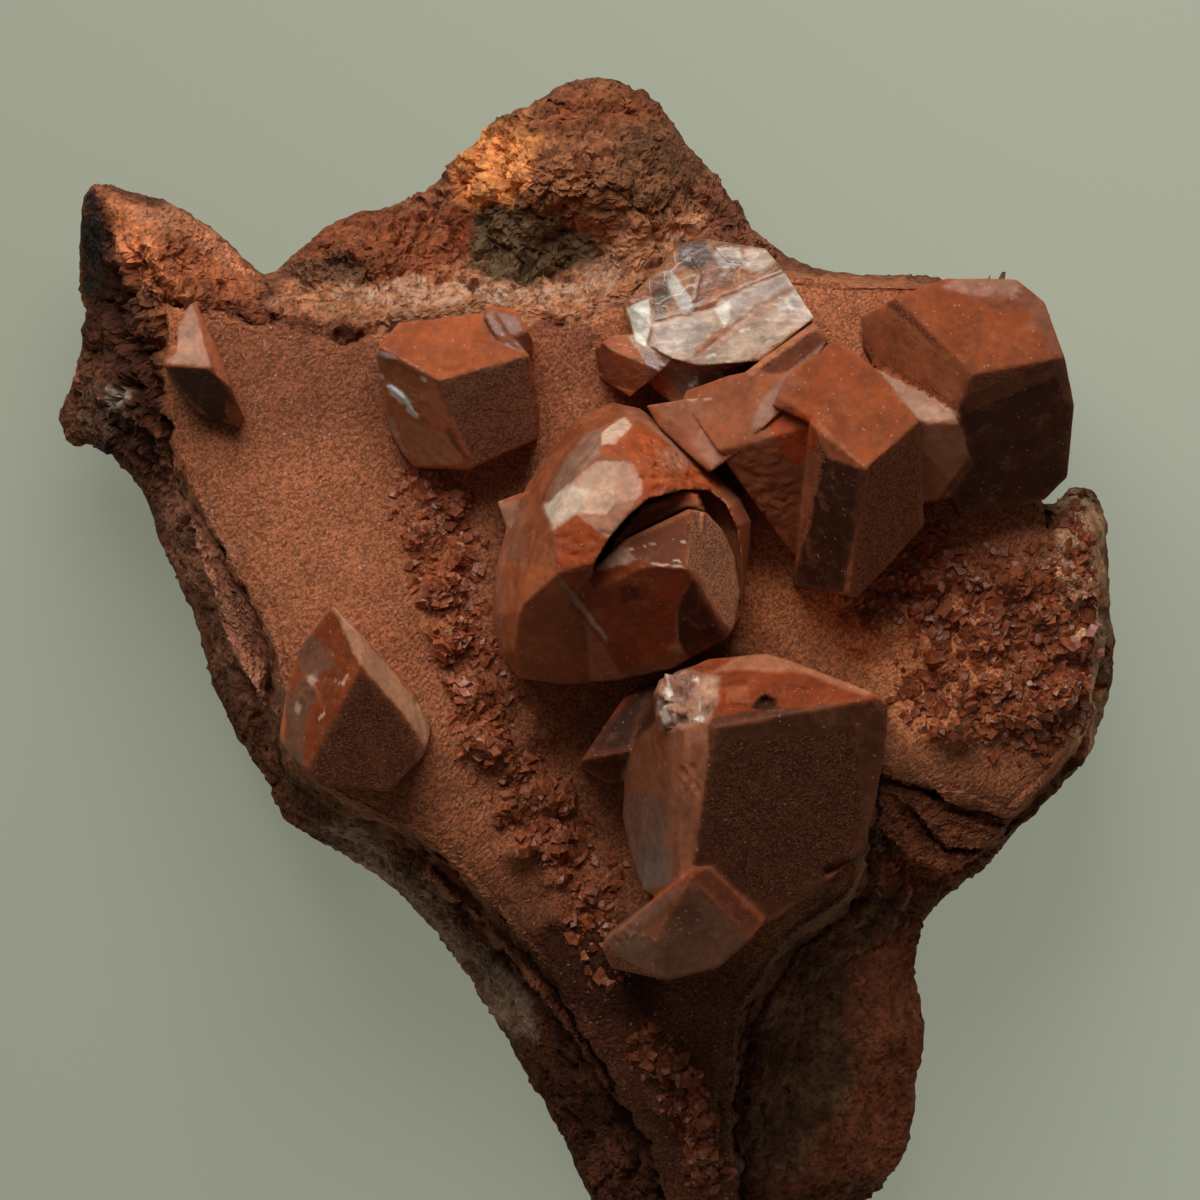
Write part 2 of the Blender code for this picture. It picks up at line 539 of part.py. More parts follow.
def crystal_block(name, crystal):
    """A block cut along each face of a crystal."""
    bm = bmesh.new()
    bmesh.ops.create_cube(bm, size=BLOCK)
    centre = Vector(crystal["face"][0])
    floor = crystal.get("floor", ROOT)
    bmesh.ops.translate(bm, verts=bm.verts, vec=(centre.x, centre.y, floor + BLOCK / 2))
    for point, facing in planes_of(crystal):
        whole = bm.verts[:] + bm.edges[:] + bm.faces[:]
        cut = bmesh.ops.bisect_plane(bm, geom=whole, plane_co=point, plane_no=facing, clear_outer=True)
        rim = [edge for edge in cut["geom_cut"] if isinstance(edge, bmesh.types.BMEdge)]
        if rim:
            bmesh.ops.edgeloop_fill(bm, edges=rim)
    bmesh.ops.remove_doubles(bm, verts=bm.verts, dist=1e-3)
    bmesh.ops.recalc_face_normals(bm, faces=bm.faces)
    mesh = bpy.data.meshes.new(name)
    bm.to_mesh(mesh)
    bm.free()
    return bpy.data.objects.new(name, mesh)


def boolean(obj, other, operation):
    step = obj.modifiers.new(other.name, "BOOLEAN")
    step.object = other
    step.operation = operation
    step.solver = "EXACT"
    return step


def build_crystals(name, blocks, clearance, group, helpers):
    """Crystals that grew into each other, as one solid that stands on the matrix."""
    grown = crystal_block(name, blocks[0])
    group.objects.link(grown)
    for number, block in enumerate(blocks[1:], 2):
        joined = crystal_block(f"{name}_{number}", block)
        helpers.objects.link(joined)
        joined.hide_render = True
        joined.display_type = "WIRE"
        boolean(grown, joined, "DIFFERENCE" if block.get("cut") else "UNION")
    boolean(grown, clearance, "DIFFERENCE")
    return grown


def main():
    clear_scene()
    pieces = collection("calcite_on_matrix")
    helpers = collection("cutters", hidden=True)
    matrix = build_matrix(pieces, helpers)
    clearance = inflated(matrix, helpers)
    grown = []
    for name, blocks in CRYSTALS.items():
        grown.append(build_crystals(name, blocks, clearance, pieces, helpers))
    for piece in [matrix, *grown]:
        piece.data.materials.append(finish(piece.name))
    for obj in bpy.data.objects:
        if obj.type == "MESH":
            obj.scale = (MM, MM, MM)


main()
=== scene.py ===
import math
from itertools import product

import bmesh
import bpy
import numpy as np
from mathutils import Matrix, Vector
from mathutils.bvhtree import BVHTree


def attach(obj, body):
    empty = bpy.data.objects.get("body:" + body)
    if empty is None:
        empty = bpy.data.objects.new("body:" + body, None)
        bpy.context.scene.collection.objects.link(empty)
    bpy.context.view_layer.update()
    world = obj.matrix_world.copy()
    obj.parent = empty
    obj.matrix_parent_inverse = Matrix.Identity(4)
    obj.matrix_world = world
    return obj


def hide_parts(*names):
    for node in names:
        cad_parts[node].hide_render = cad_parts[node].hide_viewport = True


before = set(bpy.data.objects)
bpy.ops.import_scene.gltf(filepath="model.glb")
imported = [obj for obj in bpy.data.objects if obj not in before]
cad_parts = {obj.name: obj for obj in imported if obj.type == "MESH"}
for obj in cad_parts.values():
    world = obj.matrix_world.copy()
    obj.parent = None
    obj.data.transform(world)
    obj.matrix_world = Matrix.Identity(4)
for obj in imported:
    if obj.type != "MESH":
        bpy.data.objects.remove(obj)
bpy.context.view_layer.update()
print("frame loaded")

mm = 0.001  # everything is built in millimetres and made metres at the end


# Outlines and lines lie in plan. They are flat lists: across, down, across, down and so on, in squares of a sheet
# with 25 squares to the millimetre, counted from its upper left corner.
def sheet(numbers):
    across, down = np.reshape(np.array(numbers, float), (-1, 2)).T
    return np.stack([(across - 587.5) / 25, (660 - down) / 25], 1)


def eased(value, low=0.0, high=1.0):
    share = np.clip((value - low) / (high - low), 0, 1)
    return share * share * (3 - 2 * share)


def blend(values, goal, share):  # moves a column or columns of values towards a goal by a share for each point
    values += (np.array(goal) - values) * (share[:, None] if values.ndim == 2 else share)


def hashed(cells, seed=0):  # an even spread of numbers from -1 to 1, one for each cell
    mixed = np.full(len(cells), seed * 374761393, np.int64)
    for axis, prime in zip(range(cells.shape[1]), (73856093, 19349663, 83492791)):
        mixed ^= cells[:, axis] * prime
    mixed = (mixed ^ (mixed >> 13)) * 1274126177 & 0x7FFFFFFF
    return (mixed >> 7) % 2048 / 1023.5 - 1


def lumpNoise(points, size, seed=0):  # smooth values from -1 to 1, a lump about every size mm
    spots = np.atleast_2d(points) / size + 1000.0 + seed * 7.3
    cells = np.floor(spots).astype(np.int64)
    parts = eased(spots - cells)
    total = np.zeros(len(spots))
    for corner in product((0, 1), repeat=spots.shape[1]):
        weight = np.prod(np.where(corner, parts, 1 - parts), axis=1)
        total += weight * hashed(cells + np.array(corner), seed)
    return total


def cragNoise(points, size, seed=0):  # broken blocks about size mm across: each one's level, and how far its border is
    spots = points / size + 500.0 + seed * 3.1
    cells = np.floor(spots).astype(np.int64)
    nearest, second = np.full(len(spots), 9.0), np.full(len(spots), 9.0)
    level = np.zeros(len(spots))
    for corner in product((-1, 0, 1), repeat=3):
        cell = cells + np.array(corner)
        middle = cell + 0.5 + 0.45 * np.stack([hashed(cell, seed + k) for k in (1, 2, 3)], 1)
        away = np.linalg.norm(middle - spots, axis=1)
        closer = away < nearest
        second = np.where(closer, nearest, np.minimum(second, away))
        level = np.where(closer, hashed(cell, seed + 4), level)
        nearest = np.where(closer, away, nearest)
    return level, second - nearest


def rockNoise(points, size, seed=0, layers=3):
    return sum(lumpNoise(points, size / 2.1**layer, seed + layer) / 1.8**layer for layer in range(layers)) / 1.6


def strayed(points, amount, size, seeds):  # the points pushed about by noise
    return points + amount * np.stack([rockNoise(points, size, seed) for seed in seeds], 1)


def towards(points, start, end):  # the nearest point of one side of an outline or line to each point
    side = end - start
    along = np.clip(((points - start) @ side) / max(side @ side, 1e-9), 0, 1)
    return start + along[:, None] * side


def depthInside(points, outline):  # how far inside a closed outline, and the nearest points on it
    nearest = np.full(len(points), np.inf)
    spots = np.zeros((len(points), 2))
    inside = np.zeros(len(points), bool)
    corners = sheet(outline)
    for start, end in zip(corners, np.roll(corners, -1, axis=0)):
        found = towards(points, start, end)
        away = np.hypot(*(points - found).T)
        closer = away < nearest
        nearest[closer] = away[closer]
        spots[closer] = found[closer]
        (ax, ay), (bx, by) = start, end
        if ay != by:
            crossed = (points[:, 1] < ay) != (points[:, 1] < by)
            inside ^= crossed & (points[:, 0] < ax + (points[:, 1] - ay) / (by - ay) * (bx - ax))
    return np.where(inside, nearest, -nearest), spots


def awayFrom(points, line):  # how far from an open line
    nearest = np.full(len(points), np.inf)
    corners = sheet(line)
    for start, end in zip(corners[:-1], corners[1:]):
        nearest = np.minimum(nearest, np.hypot(*(points - towards(points, start, end)).T))
    return nearest


def readPoints(mesh):
    flat = np.empty(len(mesh.vertices) * 3)
    mesh.vertices.foreach_get("co", flat)
    return flat.reshape(-1, 3)


def writePoints(mesh, points):
    mesh.vertices.foreach_set("co", points.astype(np.float32).ravel())
    mesh.update()


def readNormals(mesh):
    flat = np.empty(len(mesh.vertices) * 3, np.float32)
    mesh.vertex_normals.foreach_get("vector", flat)
    return flat.reshape(-1, 3).astype(float)


def readEdges(mesh):
    flat = np.empty(len(mesh.edges) * 2, np.int32)
    mesh.edges.foreach_get("vertices", flat)
    return flat.reshape(-1, 2)


def neighbourMean(values, edges):
    ends = np.concatenate([edges[:, 0], edges[:, 1]])
    others = np.concatenate([edges[:, 1], edges[:, 0]])
    count = np.maximum(np.bincount(ends, minlength=len(values)), 1)
    return np.stack([np.bincount(ends, values[others, k], len(values)) / count for k in range(values.shape[1])], 1)


def meshFrom(bm, name):
    mesh = bpy.data.meshes.new(name)
    bm.to_mesh(mesh)
    bm.free()
    return mesh


def mergedCopy(node):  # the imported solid's shape, its loose triangles merged
    bm = bmesh.new()
    bm.from_mesh(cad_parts[node].data)
    bmesh.ops.remove_doubles(bm, verts=bm.verts, dist=2e-6)
    bmesh.ops.scale(bm, vec=(1 / mm, 1 / mm, 1 / mm), verts=bm.verts)
    bmesh.ops.recalc_face_normals(bm, faces=bm.faces)
    return meshFrom(bm, node + "_copy")


def evaluated(holder):  # the plain mesh that an object's modifiers make
    bpy.context.view_layer.update()
    made = bpy.data.meshes.new_from_object(holder.evaluated_get(bpy.context.evaluated_depsgraph_get()))
    holder.modifiers.clear()
    bpy.data.objects.remove(holder)
    return made


def holderOf(mesh):
    holder = bpy.data.objects.new("holder", mesh)
    bpy.context.scene.collection.objects.link(holder)
    return holder


def remeshed(mesh, **settings):
    holder = holderOf(mesh)
    modifier = holder.modifiers.new("step", "REMESH")
    for name, value in settings.items():
        setattr(modifier, name, value)
    return evaluated(holder)


def setAttribute(mesh, name, values):
    if values.ndim == 2:
        layer = mesh.attributes.new(name, "FLOAT_COLOR", "POINT")
        full = np.column_stack([values, np.ones(len(values))])
        layer.data.foreach_set("color", full.astype(np.float32).ravel())
    else:
        layer = mesh.attributes.new(name, "FLOAT", "POINT")
        layer.data.foreach_set("value", values.astype(np.float32))


def placePiece(name, mesh, material, nodes, smooth=True):
    mesh.transform(Matrix.Scale(mm, 4))
    mesh.polygons.foreach_set("use_smooth", np.full(len(mesh.polygons), smooth))
    mesh.materials.clear()
    mesh.materials.append(material)
    piece = bpy.data.objects.new(name, mesh)
    bpy.context.scene.collection.objects.link(piece)
    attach(piece, "root")
    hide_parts(*nodes)
    mesh.calc_loop_triangles()
    print(name, len(mesh.loop_triangles), "triangles")
    return piece


def feed(tree, socket, value):
    if isinstance(value, bpy.types.NodeSocket):
        tree.links.new(value, socket)
    else:
        socket.default_value = value


def addNode(tree, kind, settings=None, **inputs):  # inputs by name, or by number as i0, i1 and so on
    made = tree.nodes.new(kind)
    for name, value in (settings or {}).items():
        setattr(made, name, value)
    for name, value in inputs.items():
        feed(tree, made.inputs[int(name[1:]) if name[0] == "i" and name[1:].isdigit() else name], value)
    return made


class Shading:  # a material's nodes, added one after another
    def __init__(self, name):
        self.material = bpy.data.materials.new(name)
        self.material.use_nodes = True
        self.tree = self.material.node_tree
        self.shader = self.tree.nodes["Principled BSDF"]
        self.place = self.add("ShaderNodeTexCoord").outputs["Object"]

    def add(self, kind, settings=None, **inputs):
        return addNode(self.tree, kind, settings, **inputs)

    def set(self, name, value):  # one of the shader's own sockets
        feed(self.tree, self.shader.inputs[name], value)

    def attribute(self, name, output="Fac"):
        return self.add("ShaderNodeAttribute", {"attribute_name": name}).outputs[output]

    def noise(self, size, detail=3.0, rough=0.55, twist=0.0, place=None):  # size in mm
        made = self.add("ShaderNodeTexNoise", Vector=place or self.place, Scale=1 / mm / size, Detail=detail)
        made.inputs["Roughness"].default_value = rough
        made.inputs["Distortion"].default_value = twist
        return made.outputs["Fac"]

    def warped(self, size, amount):  # the place, pushed about by up to that many mm
        push = self.add("ShaderNodeTexNoise", Vector=self.place, Scale=1 / mm / size, Detail=3.0).outputs["Color"]
        push = self.add("ShaderNodeVectorMath", {"operation": "SUBTRACT"}, i0=push, i1=(0.5, 0.5, 0.5)).outputs[0]
        return self.add("ShaderNodeVectorMath", i0=self.place, i1=self.scaled(push, 2 * amount * mm)).outputs[0]

    def cells(self, size, output="Color"):
        return self.add("ShaderNodeTexVoronoi", Vector=self.place, Scale=1 / mm / size).outputs[output]

    def cellNumbers(self, size):  # three random numbers from 0 to 1 for each cell
        return self.add("ShaderNodeSeparateColor", Color=self.cells(size)).outputs

    def math(self, operation, a, b=0.0):
        return self.add("ShaderNodeMath", {"operation": operation}, i0=a, i1=b).outputs[0]

    def times(self, a, b):
        return self.math("MULTIPLY", a, b)

    def ramp(self, value, low, high, start=0.0, end=1.0):
        settings = {"interpolation_type": "SMOOTHSTEP"}
        return self.add("ShaderNodeMapRange", settings, i0=value, i1=low, i2=high, i3=start, i4=end).outputs[0]

    def mix(self, share, a, b):  # of colours
        a, b = (value if isinstance(value, bpy.types.NodeSocket) else (*value, 1) for value in (a, b))
        return self.add("ShaderNodeMix", {"data_type": "RGBA"}, i0=share, i6=a, i7=b).outputs[2]

    def number(self, share, a, b):
        return self.add("ShaderNodeMix", {"data_type": "FLOAT"}, i0=share, i2=a, i3=b).outputs[0]

    def scaled(self, colour, factor):
        return self.add("ShaderNodeVectorMath", {"operation": "SCALE"}, i0=colour, Scale=factor).outputs[0]

    def bump(self, height, distance, strength=1.0, below=None):  # distance in mm
        made = self.add("ShaderNodeBump", Height=height, Distance=distance * mm, Strength=strength)
        if below is not None:
            feed(self.tree, made.inputs["Normal"], below)
        return made.outputs["Normal"]


# the rock and its crust, which ends at this closed outline
crustEdge = [
    165, 305, 160, 400, 180, 480, 215, 545, 260, 620, 280, 705, 290, 772.5, 340, 807.5, 430, 850, 490, 915, 550, 985,
    600, 1065, 647.5, 1145, 682.5, 1260, 742.5, 1260, 735, 1100, 747.5, 1015, 792.5, 945, 862.5, 897.5, 872.5, 815,
    872.5, 770, 932.5, 795, 1010, 825, 1055, 785, 1092.5, 725, 1105, 640, 1100, 520, 1077.5, 495, 1047.5, 525, 1042.5,
    345, 1017.5, 300, 927.5, 280, 860, 277.5, 790, 270, 747.5, 250, 697.5, 262.5, 640, 300, 560, 325, 482.5, 312.5,
    400, 327.5, 340, 342.5, 290, 325, 232.5, 315,
]

rock = {
    "grain": 0.28,  # spacing of its points before the front is made twice as fine
    "rise": 0.2,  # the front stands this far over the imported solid, so that it meets the crystals
    "edgeReach": 0.6,
    "ragged": (0.16, 0.5),  # height and size of the crust's broken edge
    "crack": (0.4, 0.1),  # depth and width of the dark line under that edge
    "lumps": [(0.26, 2.3), (0.12, 0.95)],  # height and size of the bare rock's lumps
    "crags": [(0.24, 1.6), (0.12, 0.62)],  # and of its broken blocks
    "sideCrags": 0.45,
    "pits": (0.4, 0.9),
    "waves": [(0.05, 2.4), (0.02, 0.6)],  # and of the crust's
    "grit": 0.016,
    "ledges": (0.42, 1.05),  # height and width of the broken layers outside the crust
    "ledgeReach": 3.2,
    "lumpStart": 12,  # the upper lump begins here, and has no ledges
    "crust": (0.365, 0.121, 0.05),
    "layer": (0.27, 0.085, 0.036),  # the second layer, where the crust has broken off
    "bare": (0.21, 0.074, 0.034),
    "under": (0.09, 0.036, 0.02),
}

# where the rock broke along a smooth plane, or more roughly: outline, and how smooth or, below 0, rough
calmPlaces = [
    ([96, 188, 130, 203, 168, 203, 215, 232, 262, 290, 240, 300, 205, 262, 160, 236, 118, 232], 0.85),
    ([70, 185, 98, 190, 101, 300, 70, 300], 0.95),
    ([300, 300, 400, 296, 560, 300, 620, 285, 600, 318, 480, 322, 320, 325], 0.6),
    ([1050, 500, 1100, 510, 1105, 600, 1060, 600], 0.6),
    ([660, 90, 700, 110, 700, 200, 660, 180], 0.5),
    ([430, 205, 470, 205, 470, 262, 430, 262], 0.6),
    ([102, 240, 150, 250, 190, 300, 165, 480, 110, 460, 100, 320], -0.7),
    ([165, 240, 210, 250, 300, 320, 280, 335, 200, 300], -0.5),
    ([320, 318, 400, 325, 400, 350, 330, 345], -0.6),
    ([800, 900, 925, 930, 930, 1195, 760, 1195, 770, 1000], 0.75),
    ([280, 780, 420, 880, 540, 1020, 620, 1190, 500, 1190, 330, 930], 0.5),
    ([480, 100, 640, 90, 680, 220, 560, 290, 300, 290, 380, 210], -0.4),
]

# druse: the middle line, how far it reaches from it, and how dense it is
druseFields = [
    ([870, 560, 960, 600, 1060, 620, 1075, 690, 960, 690], 3.2, 1.0),
    ([430, 500, 465, 640, 500, 760, 590, 880], 1.9, 0.9),
    ([560, 830, 610, 960], 1.6, 0.5),
    ([655, 1050, 690, 1110, 715, 1180], 1.3, 0.9),
    ([1075, 500, 1090, 620, 1085, 740], 1.0, 0.8),
]

# where the crust's top layer has broken off and leaves the next one: outline and step down
terraces = [
    ([190, 470, 204, 515, 222, 545, 256, 587, 276, 635, 284, 664, 294, 700, 290, 742, 279, 724, 260, 706, 238, 668,
        221, 630, 211, 596, 194, 550, 183, 505], 0.5),
    ([872, 770, 906, 782, 932, 798, 963, 806, 986, 816, 1015, 820, 1000, 846, 973, 853, 944, 851, 925, 823, 893, 790],
        0.45),
    ([866, 788, 893, 790, 925, 823, 944, 851, 986, 856, 957, 876, 916, 866, 880, 830], 0.9),
    ([430, 850, 507, 905, 540, 968, 600, 1042, 640, 1110, 618, 1110, 585, 1060, 530, 990, 480, 925, 425, 878], 0.55),
]

# patches of other colour on the bare rock and the crust, a few of them painted light or painted shade: outline,
# softness, strength, colour and pale grains
rockPatches = [
    ([375, 200, 430, 200, 500, 110, 600, 72, 660, 120, 700, 180, 700, 235, 560, 300, 290, 295, 290, 250], 0.6, 1.0,
        (0.335, 0.125, 0.052)),
    ([560, 80, 640, 85, 680, 125, 600, 130, 520, 130], 0.8, 0.8, (0.25, 0.07, 0.024)),
    ([285, 240, 370, 205, 450, 205, 470, 240, 430, 275, 380, 285, 300, 270], 0.5, 0.8, (0.27, 0.072, 0.026)),
    ([290, 262, 330, 255, 370, 275, 340, 290, 295, 290], 0.5, 0.7, (0.13, 0.065, 0.032), 0.1),
    ([440, 155, 490, 118, 525, 112, 548, 140, 540, 165, 510, 206, 462, 205], 0.4, 1.0, (0.8, 0.31, 0.095)),
    ([480, 118, 520, 108, 530, 130, 500, 140], 0.6, 0.6, (0.35, 0.13, 0.04)),
    ([440, 205, 470, 205, 472, 250, 455, 260, 440, 230], 0.5, 0.8, (0.26, 0.055, 0.018)),
    ([474, 206, 516, 205, 560, 215, 610, 240, 600, 262, 560, 285, 500, 284, 466, 268], 0.5, 0.92, (0.125, 0.08,
        0.036), 0.05),
    ([620, 120, 668, 130, 690, 165, 698, 200, 660, 215, 610, 180], 0.8, 0.7, (0.15, 0.065, 0.028)),
    ([286, 292, 346, 287, 406, 282, 466, 274, 545, 284, 592, 262, 625, 242, 651, 226, 696, 199, 710, 236, 675, 246,
        625, 299, 572, 322, 512, 319, 432, 315, 399, 325, 320, 325, 262, 302], 0.4, 0.9, (0.5, 0.205, 0.09), 0.35),
    ([330, 284, 400, 282, 480, 280, 560, 284, 600, 268, 640, 250, 600, 290, 540, 302, 440, 302, 340, 300], 0.5, 0.7,
        (0.46, 0.24, 0.14), 0.9),
    ([250, 318, 320, 325, 372, 330, 398, 348, 360, 352, 300, 336, 262, 332], 0.3, 0.8, (0.19, 0.06, 0.03)),
    ([520, 322, 580, 326, 604, 330, 588, 352, 560, 346], 0.3, 0.85, (0.16, 0.05, 0.026)),
    ([90, 185, 130, 205, 200, 220, 262, 285, 250, 310, 165, 300, 115, 270], 0.6, 0.9, (0.6, 0.19, 0.07), 0.1),
    ([154, 236, 200, 230, 232, 262, 262, 300, 262, 318, 225, 312, 180, 282], 0.6, 0.75, (0.34, 0.095, 0.036)),
    ([120, 205, 168, 203, 215, 232, 250, 275, 236, 278, 196, 240, 150, 222], 0.4, 0.8, (0.66, 0.25, 0.12), 0.1),
    ([84, 196, 98, 205, 118, 262, 152, 330, 158, 470, 100, 450, 80, 320], 0.5, 0.85, (0.062, 0.019, 0.008)),
    ([76, 190, 94, 192, 98, 225, 97, 284, 76, 292], 0.1, 0.9, (0.034, 0.027, 0.02)),
    ([60, 420, 80, 380, 120, 385, 125, 430, 85, 450], 0.5, 0.7, (0.1, 0.045, 0.024), 0.2),
    ([94, 400, 104, 390, 122, 390, 118, 404, 104, 412], 0.3, 0.8, (0.42, 0.32, 0.21), 0.6),
    ([150, 308, 170, 302, 188, 320, 190, 352, 164, 366, 152, 345], 0.4, 0.8, (0.34, 0.1, 0.036)),
    # the hollow's rock colour, painted lighter as painted light that lifts the shade in the hollow
    ([740, 1000, 780, 930, 880, 868, 915, 890, 880, 960, 870, 1080, 800, 1180, 735, 1190], 0.9, 0.85, (0.34, 0.17,
        0.085)),
    ([850, 960, 915, 930, 930, 1040, 915, 1180, 800, 1190, 860, 1080], 1.0, 0.8, (0.42, 0.12, 0.05)),
    ([742, 1040, 748, 985, 800, 925, 850, 888, 885, 850, 880, 890, 830, 960, 770, 1020, 756, 1110], 0.5, 0.8, (0.15,
        0.05, 0.022)),
    ([855, 900, 905, 900, 900, 945, 865, 950], 0.6, 0.7, (0.16, 0.075, 0.03)),
    ([1050, 490, 1075, 482, 1105, 520, 1112, 700, 1095, 760, 1075, 740, 1070, 640, 1052, 600], 0.5, 0.9, (0.8, 0.42,
        0.215), 0.25),
    ([1056, 553, 1080, 548, 1086, 580, 1082, 604, 1066, 590], 0.4, 0.8, (0.46, 0.27, 0.17), 0.7),
    ([1094, 618, 1108, 616, 1110, 676, 1098, 672], 0.3, 0.6, (0.2, 0.12, 0.075), 0.5),
    ([1056, 490, 1080, 484, 1096, 510, 1070, 520], 0.35, 0.85, (0.52, 0.33, 0.22), 0.8),
    ([712, 1052, 722, 1040, 742, 1036, 748, 1185, 724, 1190, 716, 1110], 0.4, 0.85, (0.36, 0.18, 0.12), 0.7),
    ([855, 790, 885, 800, 895, 860, 870, 880, 850, 840], 0.4, 0.6, (0.17, 0.07, 0.038), 0.3),
    # darker lower crust: partly painted shade where the crust slopes away from the light, partly its darker stone
    ([500, 880, 620, 930, 780, 960, 760, 1230, 540, 1230, 520, 1000], 4.0, 0.85, (0.12, 0.036, 0.016)),
    ([200, 300, 380, 330, 400, 420, 300, 440, 215, 430], 2.4, 0.85, (0.23, 0.075, 0.032)),
    ([520, 330, 600, 340, 600, 400, 560, 400, 530, 380], 1.6, 0.7, (0.27, 0.082, 0.034)),
    # painted light: the crust is painted brighter here, where the crystals above cast their shadow
    ([745, 580, 880, 590, 985, 600, 1000, 720, 900, 745, 880, 700, 820, 650, 745, 640], 1.6, 1.0, (0.7, 0.25, 0.096)),
    ([165, 470, 205, 500, 250, 600, 290, 700, 275, 770, 200, 650, 165, 540], 1.0, 0.85, (0.42, 0.175, 0.095)),
    ([875, 855, 962, 852, 968, 886, 885, 892], 0.5, 0.8, (0.39, 0.115, 0.047)),
    # painted shadow: the crust is painted near black here, in the shadow of the crystal above it
    ([530, 925, 650, 930, 665, 1010, 600, 1030, 550, 1005], 1.2, 0.85, (0.046, 0.011, 0.0036)),
    ([585, 1060, 670, 1055, 700, 1180, 600, 1180], 1.2, 0.85, (0.17, 0.055, 0.026)),
    ([300, 830, 350, 826, 410, 876, 470, 950, 525, 1000, 540, 1040, 505, 1040, 450, 970, 380, 895, 320, 860], 0.8,
        0.85, (0.5, 0.31, 0.19), 0.2),
]

relief = {"step": 0.2, "low": np.array([-23.0, -25.0]), "count": (230, 250), "top": 60, "carried": 12, "outside": 5.0}


def reliefOf(mesh):  # the height of the front over any plan point, from rays cast down on it
    mesh.calc_loop_triangles()
    corners = np.empty(len(mesh.loop_triangles) * 3, np.int32)
    mesh.loop_triangles.foreach_get("vertices", corners)
    tree = BVHTree.FromPolygons([Vector(point) for point in readPoints(mesh)], corners.reshape(-1, 3).tolist())
    step, low, (wide, tall) = relief["step"], relief["low"], relief["count"]
    heights = np.full((wide, tall), np.nan)
    for across, up in product(range(wide), range(tall)):
        start = Vector((low[0] + across * step, low[1] + up * step, relief["top"]))
        hit = tree.ray_cast(start, Vector((0, 0, -1)))[0]
        if hit:
            heights[across, up] = hit.z
    for _ in range(relief["carried"]):  # carried a little past the rim
        padded = np.pad(heights, 1, constant_values=np.nan)
        around = np.stack([padded[1 + a:1 + a + wide, 1 + b:1 + b + tall] for a, b in product((-1, 0, 1), repeat=2)])
        known = ~np.isnan(around)
        mean = np.where(known, around, 0).sum(0) / np.maximum(known.sum(0), 1)
        heights = np.where(np.isnan(heights) & known.any(0), mean, heights)
    heights = np.nan_to_num(heights, nan=relief["outside"])

    def heightAt(plan):
        spot = np.clip((plan - low) / step, 0, (wide - 1.01, tall - 1.01))
        cell = spot.astype(int)
        fx, fy = (spot - cell).T
        i, j = cell.T
        near = heights[i, j] * (1 - fx) * (1 - fy) + heights[i + 1, j] * fx * (1 - fy)
        return near + heights[i, j + 1] * (1 - fx) * fy + heights[i + 1, j + 1] * fx * fy

    return heightAt


def druseShare(plan):
    share = np.zeros(len(plan))
    for line, reach, density in druseFields:
        share = np.maximum(share, density * eased(1 - awayFrom(plan, line) / reach, 0, 0.7))
    return share * (0.75 + 0.45 * lumpNoise(plan, 1.1, 31))


def fineFront(mesh):
    bm = bmesh.new()
    bm.from_mesh(mesh)
    edges = {edge for face in bm.faces if face.normal.z > 0.3 for edge in face.edges}
    bmesh.ops.subdivide_edges(bm, edges=list(edges), cuts=1, use_grid_fill=True)
    bmesh.ops.triangulate(bm, faces=[face for face in bm.faces if len(face.verts) > 4])
    bm.to_mesh(mesh)
    bm.free()


